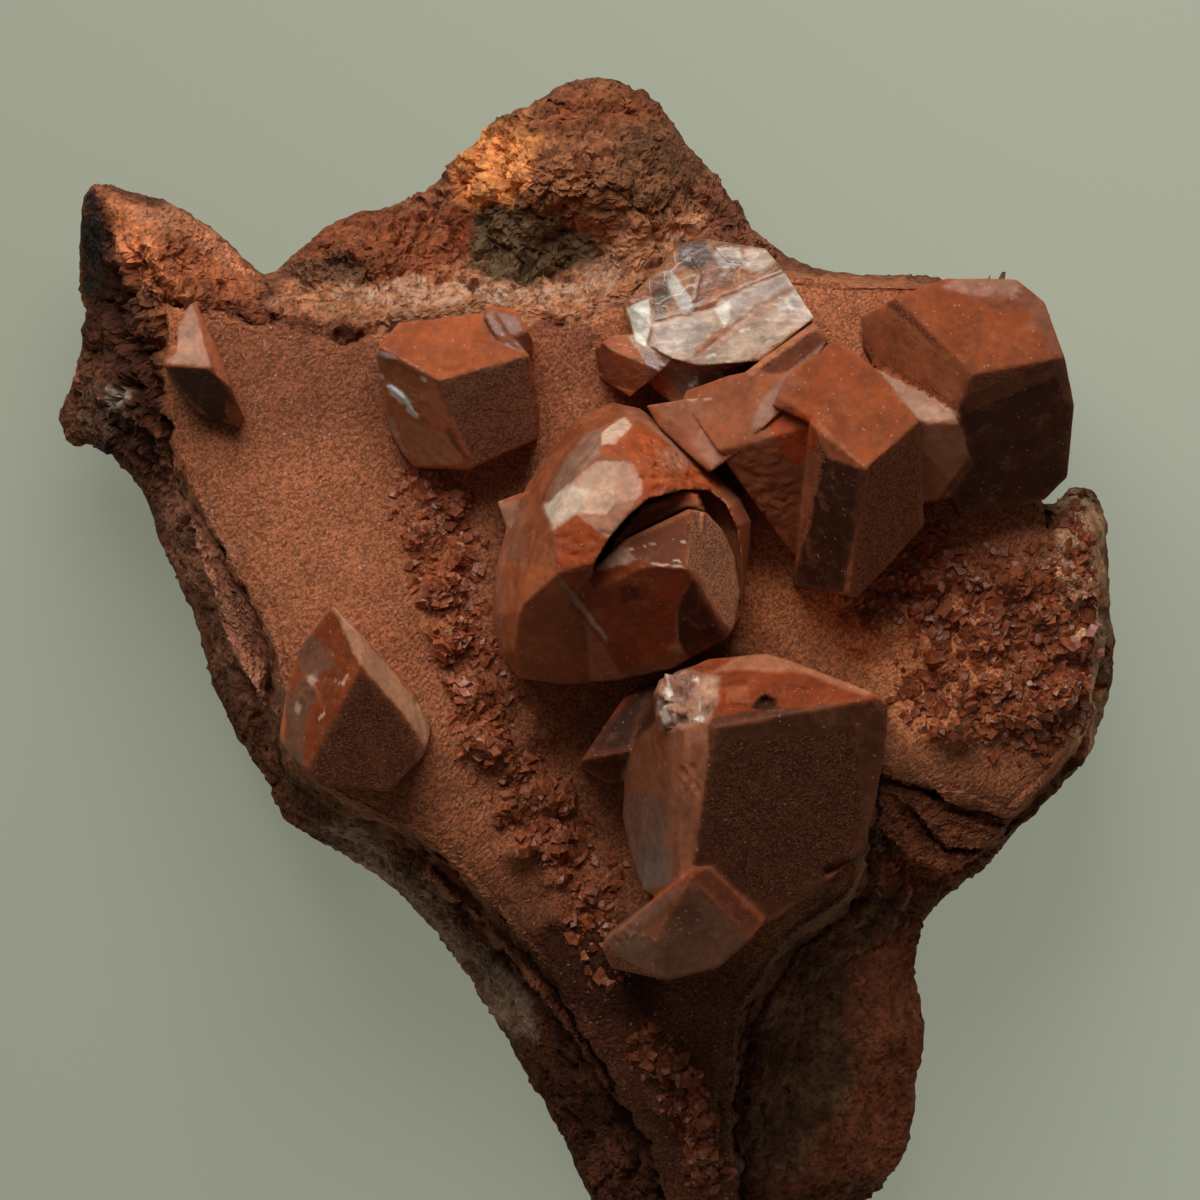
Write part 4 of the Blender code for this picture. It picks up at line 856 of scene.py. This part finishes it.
            ([682, 728, 706, 721, 708, 745, 702, 791, 696, 848, 681, 878, 676, 837, 680, 791], 0.06, (0.36, 0.12,
                0.055), 0.15),
            ([655, 683, 673, 668, 699, 672, 718, 675, 717, 697, 706, 722, 683, 728, 662, 727], 0.2, (0.42, 0.22,
                0.14), 0.2),
            ([672, 684, 682, 676, 694, 680, 690, 694, 682, 706, 674, 700], 0.12, (0.26, 0.13, 0.09), 0.3),
            ([656, 700, 664, 694, 670, 706, 676, 720, 664, 726, 658, 714], 0.15, (0.5, 0.38, 0.29), 0.2),
            # painted glints: white spots where the small crystals of the cluster catch the light
            ([663, 690, 669, 686, 672, 694, 667, 698], 0.06, (0.9, 0.8, 0.64)),
            ([662, 675, 669, 672, 668, 679], 0.05, (0.8, 0.6, 0.46)),
            ([690, 678, 698, 675, 697, 682], 0.05, (0.85, 0.7, 0.55)),
            ([706, 682, 712, 681, 712, 689, 706, 692], 0.05, (0.9, 0.78, 0.62)),
            ([696, 700, 703, 695, 706, 706, 698, 709], 0.06, (0.8, 0.62, 0.46)),
            ([692, 716, 701, 712, 703, 719, 696, 722], 0.06, (0.8, 0.72, 0.62), 0.1),
            ([684, 722, 704, 720, 706, 740, 684, 742], 0.2, (0.46, 0.17, 0.09), 0.1),
            ([748, 706, 756, 697, 763, 691, 770, 697, 779, 706, 764, 709], 0.05, (0.03, 0.009, 0.004)),
            ([724, 684, 746, 684, 747, 702, 724, 702], 0.06, (0.3, 0.075, 0.026)),
            ([702, 674, 713, 677, 712, 692, 704, 704, 696, 706, 700, 690], 0.2, (0.5, 0.28, 0.18)),
            ([603, 938, 640, 905, 690, 875, 747, 935, 730, 962, 680, 976, 655, 972], 0.08, (0.17, 0.075, 0.042), 0.1),
            ([639, 926, 687, 880, 689, 902, 668, 916, 655, 933], 0.1, (0.16, 0.05, 0.022), 0.1),
            ([603, 938, 620, 922, 652, 936, 655, 970, 622, 956], 0.08, (0.26, 0.12, 0.07), 0.25),
            ([689, 876, 708, 862, 758, 917, 747, 935], 0.06, (0.085, 0.018, 0.007), 0.1),
            ([579, 759, 604, 726, 652, 678, 655, 722, 634, 740, 620, 777, 598, 778], 0.12, (0.036, 0.009, 0.004),
                0.1),
            ([579, 762, 590, 744, 622, 750, 618, 780, 596, 780], 0.3, (0.1, 0.02, 0.005), 0.1),
        ],
        "lines": [
            ([747, 690, 744, 682, 732, 681, 724, 686, 723, 698, 727, 704, 742, 704], 0.1, 0.17), ([758, 704, 763, 700,
            768, 704], 0.22, 0.6), ([784, 684, 802, 688, 818, 685], 0.08, 0.16), ([700, 672, 745, 660, 800, 664, 850,
            682], 0.1, 0.04), ([681, 730, 688, 760, 681, 800, 680, 870], 0.08, -0.05), ([688, 762, 698, 775, 684,
            792], 0.1, 0.07), ([652, 936, 655, 972], 0.07, -0.04), ([826, 868, 838, 862, 848, 860], 0.12, 0.35),
            ([681, 800, 682, 840, 679, 876], 0.05, -0.05),
        ],
        "broken": [
            ([654, 664, 680, 664, 718, 672, 718, 700, 708, 720, 680, 728, 656, 726], 0.24, 0.5), ([678, 758, 698, 762,
            698, 792, 680, 800], 0.08, 0.3), ([700, 660, 760, 652, 800, 664, 720, 672], 0.04, 0.3), ([612, 926, 640,
            914, 640, 934, 618, 944], 0.08, 0.3),
        ],
    },
    "lower_left": {
        "node": "lower_left_crystal", "slot": "red_calcite", "detail": 6, "top": (0.33, 0.08, 0.022),
        "paint": [
            ([325, 612, 340, 612, 362, 664, 345, 700, 318, 764, 285, 745, 288, 690], 0.12, (0.31, 0.06, 0.014), 0.35),
            ([312, 628, 330, 654, 338, 664, 324, 672, 302, 674, 300, 650], 0.2, (0.26, 0.1, 0.055), 0.3),
            ([283, 750, 284, 700, 304, 676, 318, 690, 306, 730, 304, 780, 316, 796], 0.3, (0.2, 0.078, 0.04), 0.35),
            ([308, 674, 318, 672, 320, 680, 312, 684], 0.15, (0.5, 0.34, 0.25), 0.1),
            ([297, 702, 304, 706, 302, 714, 297, 711], 0.12, (0.46, 0.3, 0.2), 0.1),
            ([320, 720, 327, 711, 328, 713, 321, 721], 0.03, (0.8, 0.55, 0.4)),
            ([337, 678, 342, 683, 349, 673, 350, 675, 343, 686, 337, 681], 0.03, (0.7, 0.4, 0.28)),
            ([280, 736, 282, 710, 286, 700, 287, 712, 285, 752], 0.05, (0.4, 0.1, 0.035)),
            ([362, 664, 412, 722, 418, 760, 400, 790, 320, 785, 310, 765, 345, 700], 0.12, (0.105, 0.032, 0.014), 0.0,
                0.9),
            ([333, 608, 342, 608, 395, 672, 428, 715, 432, 762, 414, 726, 362, 662], 0.06, (0.5, 0.24, 0.13), 0.1),
        ],
        "lines": [
            ([338, 610, 362, 664], 0.07, -0.05), ([417, 700, 419, 716, 424, 734], 0.08, 0.12), ([326, 618, 334, 650,
            360, 664], 0.07, 0.05), ([300, 676, 338, 664], 0.07, 0.05),
        ],
        "broken": [([300, 670, 350, 664, 346, 690, 318, 720, 300, 700], 0.05, 0.4)],
    },
}

crystalShape = {
    "rounding": 2,  # rounds of smoothing, which wear the edges
    "waves": [(0.03, 2.3), (0.012, 0.7)],
    "root": 0.6,  # how far under the crust each crystal starts
    "rim": (0.38, 0.12, 0.05),  # the colour that shines through at the edges
    "dust": (0.2, 0.07, 0.035),  # and that of the dusty lower faces
}


def hullOf(corners, drop):
    bm = bmesh.new()
    for across, down, height in corners:
        x, y = sheet([across, down])[0]
        bm.verts.new((x, y, height))
        bm.verts.new((x, y, height - drop))
    hull = bmesh.ops.convex_hull(bm, input=bm.verts)
    spare = {vertex for vertex in hull["geom_interior"] if isinstance(vertex, bmesh.types.BMVert)}
    bmesh.ops.delete(bm, geom=list(spare), context="VERTS")
    bmesh.ops.recalc_face_normals(bm, faces=bm.faces)
    return meshFrom(bm, "hull")


def buildCrystal(facts):
    solid = hullOf(facts["corners"], facts["drop"]) if "corners" in facts else mergedCopy(facts["node"])
    mesh = remeshed(solid, mode="SHARP", octree_depth=facts["detail"], scale=0.9, use_remove_disconnected=False)
    points, normals, edges = readPoints(mesh), readNormals(mesh), readEdges(mesh)
    facing = normals.copy()

    # where it grew on the crust it reaches down into it
    ground = heightAt(points[:, :2])
    rooted = (normals[:, 2] < -0.2) & (np.abs(points[:, 2] - ground) < 1.6)
    points[rooted, 2] = ground[rooted] - crystalShape["root"]

    if "filled" in facts:  # its hollow isn't deep
        outline, level = facts["filled"]
        low = (depthInside(points[:, :2], outline)[0] > 0) & (normals[:, 2] > 0.5) & (points[:, 2] < level)
        points[low, 2] = level + 0.2 * rockNoise(points[low], 0.9, 3)
    before = points.copy()
    for _ in range(crystalShape["rounding"]):
        points += 0.5 * (neighbourMean(points, edges) - points)
    worn = np.linalg.norm(points - before, axis=1)
    points -= normals * (worn * (1.2 * eased(rockNoise(points, 0.7, 7), 0.1, 0.6)))[:, None]
    for number, (height, size) in enumerate(crystalShape["waves"]):
        points += normals * (height * rockNoise(points, size, 20 + 4 * number))[:, None]
    wobble = 0.12 * np.stack([rockNoise(points, 0.8, 51), rockNoise(points, 0.8, 55)], 1)
    for line, width, deep in facts.get("lines", []):
        near = np.exp(-((awayFrom(points[:, :2] + wobble, line) / width) ** 2))
        points[:, 2] -= deep * near * eased(normals[:, 2], 0.1, 0.4)
    for outline, height, size in facts.get("broken", []):
        share = eased(depthInside(points[:, :2] + wobble, outline)[0], -0.08, 0.2)
        level, border = cragNoise(points, size, 11)
        rise = height * share * (level - 0.7 * (1 - eased(border, 0, 0.2))) * eased(normals[:, 2], -0.1, 0.2)
        points += normals * rise[:, None]
    writePoints(mesh, points)

    # colour: lit through at the worn edges, dusty on the faces that look down the sheet
    plan = points[:, :2]
    for _ in range(2):
        facing = neighbourMean(facing, edges)
    rim = np.clip(worn / 0.03, 0, 1)[:, None]
    for _ in range(5):
        rim = np.maximum(rim, neighbourMean(rim, edges))
    rim = rim[:, 0] * eased(points[:, 2] - ground, 0.6, 2.0)
    tint = np.tile(np.array(facts["top"]), (len(points), 1))
    glass = np.full(len(points), facts.get("glass", 0.0))
    coat = eased(-facing[:, 1], 0.12, 0.3) * eased(facing[:, 2], -0.3, 0.0)
    coat = coat * facts.get("dust", 0.0 if facts.get("glass") else 1.0)
    blend(tint, crystalShape["dust"], 0.7 * coat)
    stray = strayed(plan, 0.08, 0.6, (71, 75))
    for outline, soft, colour, *more in facts["paint"]:
        clear, dusted = (more + [0.0, 0.0])[:2]
        share = eased(depthInside(stray, outline)[0], -soft / 2, soft / 2)
        blend(tint, colour, share)
        blend(glass, clear, share)
        blend(coat, dusted, share)
    if not facts.get("glass"):
        blend(tint, crystalShape["rim"], 0.35 * rim * eased(0.5 - glass, 0, 0.3))
    coat *= 1 - 0.85 * rim
    for name, values in (("tint", tint), ("glass", glass), ("coat", coat)):
        setAttribute(mesh, name, values)
    return mesh


def calciteFinish(name, ior, scatter, clear=0.35, windows=False):
    look = Shading(name)
    tint, glass, coat = look.attribute("tint", "Color"), look.attribute("glass"), look.attribute("coat")
    solid, clean = look.math("SUBTRACT", 1.0, glass), look.math("SUBTRACT", 1.0, coat)
    cloud = look.noise(1.6, 5.0, 0.6, 0.4)
    fine = look.noise(0.35, 3.0, 0.6)
    shade = look.times(look.ramp(cloud, 0.3, 0.72, 0.78, 1.22), look.ramp(fine, 0.3, 0.7, 0.85, 1.16))
    body = look.scaled(tint, shade)
    frost = look.ramp(look.noise(0.9, 6.0, 0.72, 0.3), 0.52, 0.74)  # pinker frosting on the matt faces
    body = look.mix(look.times(look.times(frost, solid), 0.3), body, (0.5, 0.2, 0.11))
    deep = look.ramp(look.noise(2.4, 3.0, 0.5, 0.9), 0.42, 0.64)  # clear places look deeper and darker
    body = look.mix(look.times(deep, look.times(glass, 0.6)), body, look.scaled(tint, 0.42))
    warped = look.warped(1.5, 0.5)
    wisp = look.noise(1.2, 4.0, 0.62, place=warped)
    wisp = look.math("ABSOLUTE", look.math("SUBTRACT", wisp, 0.5))  # veils where the noise crosses its middle
    veil = look.times(look.ramp(wisp, 0.0, 0.035, 1.0, 0.0), look.ramp(look.noise(1.9, 3.0, 0.6), 0.45, 0.62))
    body = look.mix(look.times(veil, look.number(glass, 0.05, 0.15)), body, (0.75, 0.42, 0.27))
    if windows:  # fibres, and cleavage sheets that catch the light in the clear part
        turned = look.add("ShaderNodeMapping", Vector=warped, Rotation=(0, 0, math.radians(-28)), Scale=(0.22, 1, 1))
        fibre = look.noise(0.3, 5.0, 0.65, place=turned.outputs[0])
        body = look.scaled(body, look.ramp(fibre, 0.3, 0.7, 0.7, 1.22))
        body = look.mix(look.times(look.ramp(fibre, 0.62, 0.68), 0.7), body, (0.86, 0.8, 0.72))
        sheets = 0.0
        for lean, size in (((0.9, 0.42, 0.2), 0.62), ((-0.35, 0.9, 0.3), 0.8)):
            along = look.add("ShaderNodeVectorMath", {"operation": "DOT_PRODUCT"}, i0=warped, i1=lean).outputs["Value"]
            line = look.ramp(look.math("PINGPONG", along, size * mm / 2), 0.0, 0.00004, 1.0, 0.0)
            line = look.times(line, look.ramp(look.noise(0.7 + size, 3.0, 0.7), 0.52, 0.64))
            sheets = look.math("MAXIMUM", line, sheets)
        glow = look.ramp(look.noise(1.3, 2.0, 0.5, 0.5), 0.5, 0.62)
        body = look.mix(look.times(glow, glass), body, (0.42, 0.1, 0.03))
        body = look.mix(look.times(sheets, look.times(glass, 0.7)), body, (0.95, 0.82, 0.68))
        veil = look.math("MAXIMUM", veil, sheets)
    grains = look.cellNumbers(0.075)
    sparkle = look.ramp(grains[0], 0.99, 0.997)
    body = look.mix(look.times(sparkle, look.number(glass, 0.22, 0.6)), body, (0.85, 0.62, 0.5))
    sand = look.scaled(tint, look.ramp(grains[1], 0.0, 1.0, 0.4, 1.6))
    # painted glints: a few sand grains painted pale
    sand = look.mix(look.times(look.ramp(grains[0], 0.96, 0.98), 0.22), sand, (0.5, 0.32, 0.23))
    look.set("Base Color", look.mix(coat, body, sand))
    frosted = look.ramp(fine, 0.3, 0.7, 0.55, 0.8)
    rough = look.number(look.ramp(glass, 0.0, 0.4), frosted, look.ramp(cloud, 0.3, 0.7, 0.1, 0.3))
    look.set("Roughness", look.number(coat, rough, 0.8))
    bareGlass = look.times(glass, clean)
    see = look.times(look.times(bareGlass, look.ramp(veil, 0.0, 1.0, 1.0, 0.25)), clear)
    look.set("Transmission Weight", see)
    look.set("Coat Weight", look.times(look.ramp(bareGlass, 0.1, 0.6), 0.35))
    look.set("Coat Roughness", 0.12)
    look.set("Subsurface Weight", look.times(clean, scatter))
    look.set("Subsurface Radius", (1.0, 0.35, 0.15))
    look.set("Subsurface Scale", 0.9 * mm)
    look.set("Specular IOR Level", 0.1)
    look.set("IOR", ior)
    smooth = look.bump(look.math("ADD", fine, look.times(veil, 0.3)), 0.035, 0.7)
    gritty = look.bump(look.math("ADD", look.cells(0.075, "Distance"), grains[1]), 0.08, 0.8)
    normal = look.add("ShaderNodeMix", {"data_type": "VECTOR"}, i0=coat, i4=smooth, i5=gritty)
    look.set("Normal", normal.outputs[1])
    return look.material


finishes = {
    "red_calcite": calciteFinish("red_calcite", 1.5, 0.35),
    "glassy_calcite": calciteFinish("glassy_calcite", 1.55, 0.35),
    "clear_calcite": calciteFinish("clear_calcite", 1.55, 0.1, clear=0.9, windows=True),
}
for name, facts in crystals.items():
    placePiece(name, buildCrystal(facts), finishes[facts["slot"]], [facts["node"]])

# the druse: small rhombs grown over the crust, by Geometry Nodes
druse = {"Size low": 0.1, "Size high": 0.36, "Per square mm": 30.0, "Skew": 0.16, "Sunk": -0.04, "Seed": 4}


def druseTree(material):
    tree = bpy.data.node_groups.new("grownDruse", "GeometryNodeTree")
    tree.interface.new_socket("Geometry", in_out="INPUT", socket_type="NodeSocketGeometry")
    for name, value in druse.items():
        kind = "NodeSocketInt" if isinstance(value, int) else "NodeSocketFloat"
        tree.interface.new_socket(name, in_out="INPUT", socket_type=kind)
    tree.interface.new_socket("Geometry", in_out="OUTPUT", socket_type="NodeSocketGeometry")

    def add(kind, settings=None, **inputs):
        return addNode(tree, kind, settings, **inputs)

    def reckoned(operation, a, b):
        return add("ShaderNodeMath", {"operation": operation}, i0=a, i1=b).outputs[0]

    given = add("NodeGroupInput").outputs
    share = add("GeometryNodeInputNamedAttribute", {"data_type": "FLOAT"}, Name="druse").outputs[0]
    density = reckoned("MULTIPLY", share, given["Per square mm"])
    points = add("GeometryNodeDistributePointsOnFaces", Mesh=given["Geometry"], Density=density, Seed=given["Seed"])
    cube = add("GeometryNodeMeshCube", Size=(1, 1, 1)).outputs[0]
    apart = add("ShaderNodeSeparateXYZ", Vector=add("GeometryNodeInputPosition").outputs[0]).outputs
    total = reckoned("MULTIPLY", reckoned("ADD", reckoned("ADD", apart[0], apart[1]), apart[2]), given["Skew"])
    leaning = add("ShaderNodeCombineXYZ", X=total, Y=total, Z=total).outputs[0]
    rhomb = add("GeometryNodeSetPosition", Geometry=cube, Offset=leaning).outputs[0]
    fullTurn = (math.tau, math.tau, math.tau)
    turn = add("FunctionNodeRandomValue", {"data_type": "FLOAT_VECTOR"}, i0=(0, 0, 0), i1=fullTurn, Seed=given["Seed"])
    low, high = given["Size low"], given["Size high"]
    size = add("FunctionNodeRandomValue", {"data_type": "FLOAT"}, i2=low, i3=high, Seed=given["Seed"]).outputs[1]
    scale = reckoned("MAXIMUM", reckoned("DIVIDE", reckoned("MULTIPLY", size, size), high), low)
    facts = {"Points": points.outputs[0], "Instance": rhomb, "Rotation": turn.outputs[0], "Scale": scale}
    placed = add("GeometryNodeInstanceOnPoints", **facts)
    least, most = (0.6, 0.6, 0.6), (1.5, 1.5, 1.5)
    stretch = add("FunctionNodeRandomValue", {"data_type": "FLOAT_VECTOR"}, i0=least, i1=most, Seed=9)
    placed = add("GeometryNodeScaleInstances", Instances=placed.outputs[0], Scale=stretch.outputs[0])
    down = add("ShaderNodeCombineXYZ", Z=given["Sunk"]).outputs[0]
    placed = add("GeometryNodeTranslateInstances", Instances=placed.outputs[0], Translation=down)
    placed.inputs["Local Space"].default_value = False
    real = add("GeometryNodeRealizeInstances", Geometry=placed.outputs[0]).outputs[0]
    done = add("GeometryNodeSetMaterial", Geometry=real, Material=material).outputs[0]
    add("NodeGroupOutput", Geometry=done)
    return tree


def druseFinish():
    look = Shading("druse")
    each = look.cellNumbers(0.22)
    colour = look.mix(look.ramp(each[0], 0.1, 0.9), (0.25, 0.06, 0.022), (0.46, 0.125, 0.046))
    colour = look.mix(look.times(look.ramp(look.noise(0.2, 2.0), 0.5, 0.7), 0.5), colour, (0.17, 0.045, 0.018))
    colour = look.mix(look.times(look.ramp(each[1], 0.9, 0.95), 0.55), colour, (0.66, 0.4, 0.29))
    look.set("Base Color", colour)
    look.set("Roughness", look.ramp(each[2], 0.0, 1.0, 0.22, 0.7))
    look.set("Specular IOR Level", 0.3)
    look.set("Normal", look.bump(look.noise(0.12, 2.0), 0.03, 0.7))
    return look.material


def buildDruse():
    ground = rockPiece.data.copy()
    ground.transform(Matrix.Scale(1 / mm, 4))
    holder = holderOf(ground)
    material = druseFinish()
    modifier = holder.modifiers.new("druse", "NODES")
    modifier.node_group = druseTree(material)
    for item in modifier.node_group.interface.items_tree:
        if item.in_out == "INPUT" and item.name in druse:
            modifier[item.identifier] = druse[item.name]
    return evaluated(holder), material


druseMesh, druseMaterial = buildDruse()
placePiece("druse_rhombs", druseMesh, druseMaterial, ["matrix"], smooth=False)

# floor, light and camera
studio = {
    "middle": (0.0005, 0.0024, 0.013),
    # each light's compass and lean in degrees, how far it stands from the middle, its size and its power
    "lights": {"key": (99, 47, 0.16, 0.115, 0.25), "side": (124, 31, 0.2, 0.06, 0.01)},
    "world": 0.075,
    "floor": (0.2, 0.21, 0.16), "floorLeft": (0.243, 0.258, 0.19), "floorRight": (0.335, 0.355, 0.272), "floorGlow": 0.72,
    "cameraHeight": 0.613, "lens": 450,
}


def areaLight(name, compass, lean, away, size, power):
    data = bpy.data.lights.new(name, "AREA")
    data.shape = "SQUARE"
    data.size = size
    data.energy = power
    light = bpy.data.objects.new(name, data)
    bpy.context.scene.collection.objects.link(light)
    compass, lean = math.radians(compass), math.radians(lean)
    out = Vector((math.cos(compass) * math.sin(lean), math.sin(compass) * math.sin(lean), math.cos(lean)))
    light.location = Vector(studio["middle"]) + out * away
    light.rotation_euler = out.to_track_quat("Z", "Y").to_euler()


for name, placed in studio["lights"].items():
    areaLight(name, *placed)

world = bpy.data.worlds.new("studio")
bpy.context.scene.world = world
world.use_nodes = True
background = world.node_tree.nodes["Background"]
background.inputs["Color"].default_value = (1, 1, 1, 1)
background.inputs["Strength"].default_value = studio["world"]

floorMesh = bpy.data.meshes.new("floor")
floorMesh.from_pydata([(-1, -1, 0), (1, -1, 0), (1, 1, 0), (-1, 1, 0)], [], [(0, 1, 2, 3)])
floor = bpy.data.objects.new("floor", floorMesh)
bpy.context.scene.collection.objects.link(floor)
# the floor glows: painted light that pales the shadows on it, brighter towards the right
floorLook = Shading("floor")
across = floorLook.add("ShaderNodeSeparateXYZ", Vector=floorLook.place).outputs[0]
floorLook.set("Base Color", (*studio["floor"], 1))
floorLook.set("Roughness", 0.9)
brighter = floorLook.ramp(across, -0.03, 0.03)
floorLook.set("Emission Color", floorLook.mix(brighter, studio["floorLeft"], studio["floorRight"]))
floorLook.set("Emission Strength", studio["floorGlow"])
floorMesh.materials.append(floorLook.material)

cameraData = bpy.data.cameras.new("camera")
cameraData.lens = studio["lens"]
cameraData.clip_start = 0.01
camera = bpy.data.objects.new("camera", cameraData)
camera.location = (studio["middle"][0], studio["middle"][1], studio["cameraHeight"])
bpy.context.scene.collection.objects.link(camera)
bpy.context.scene.camera = camera
bpy.context.scene.view_settings.view_transform = "Standard"
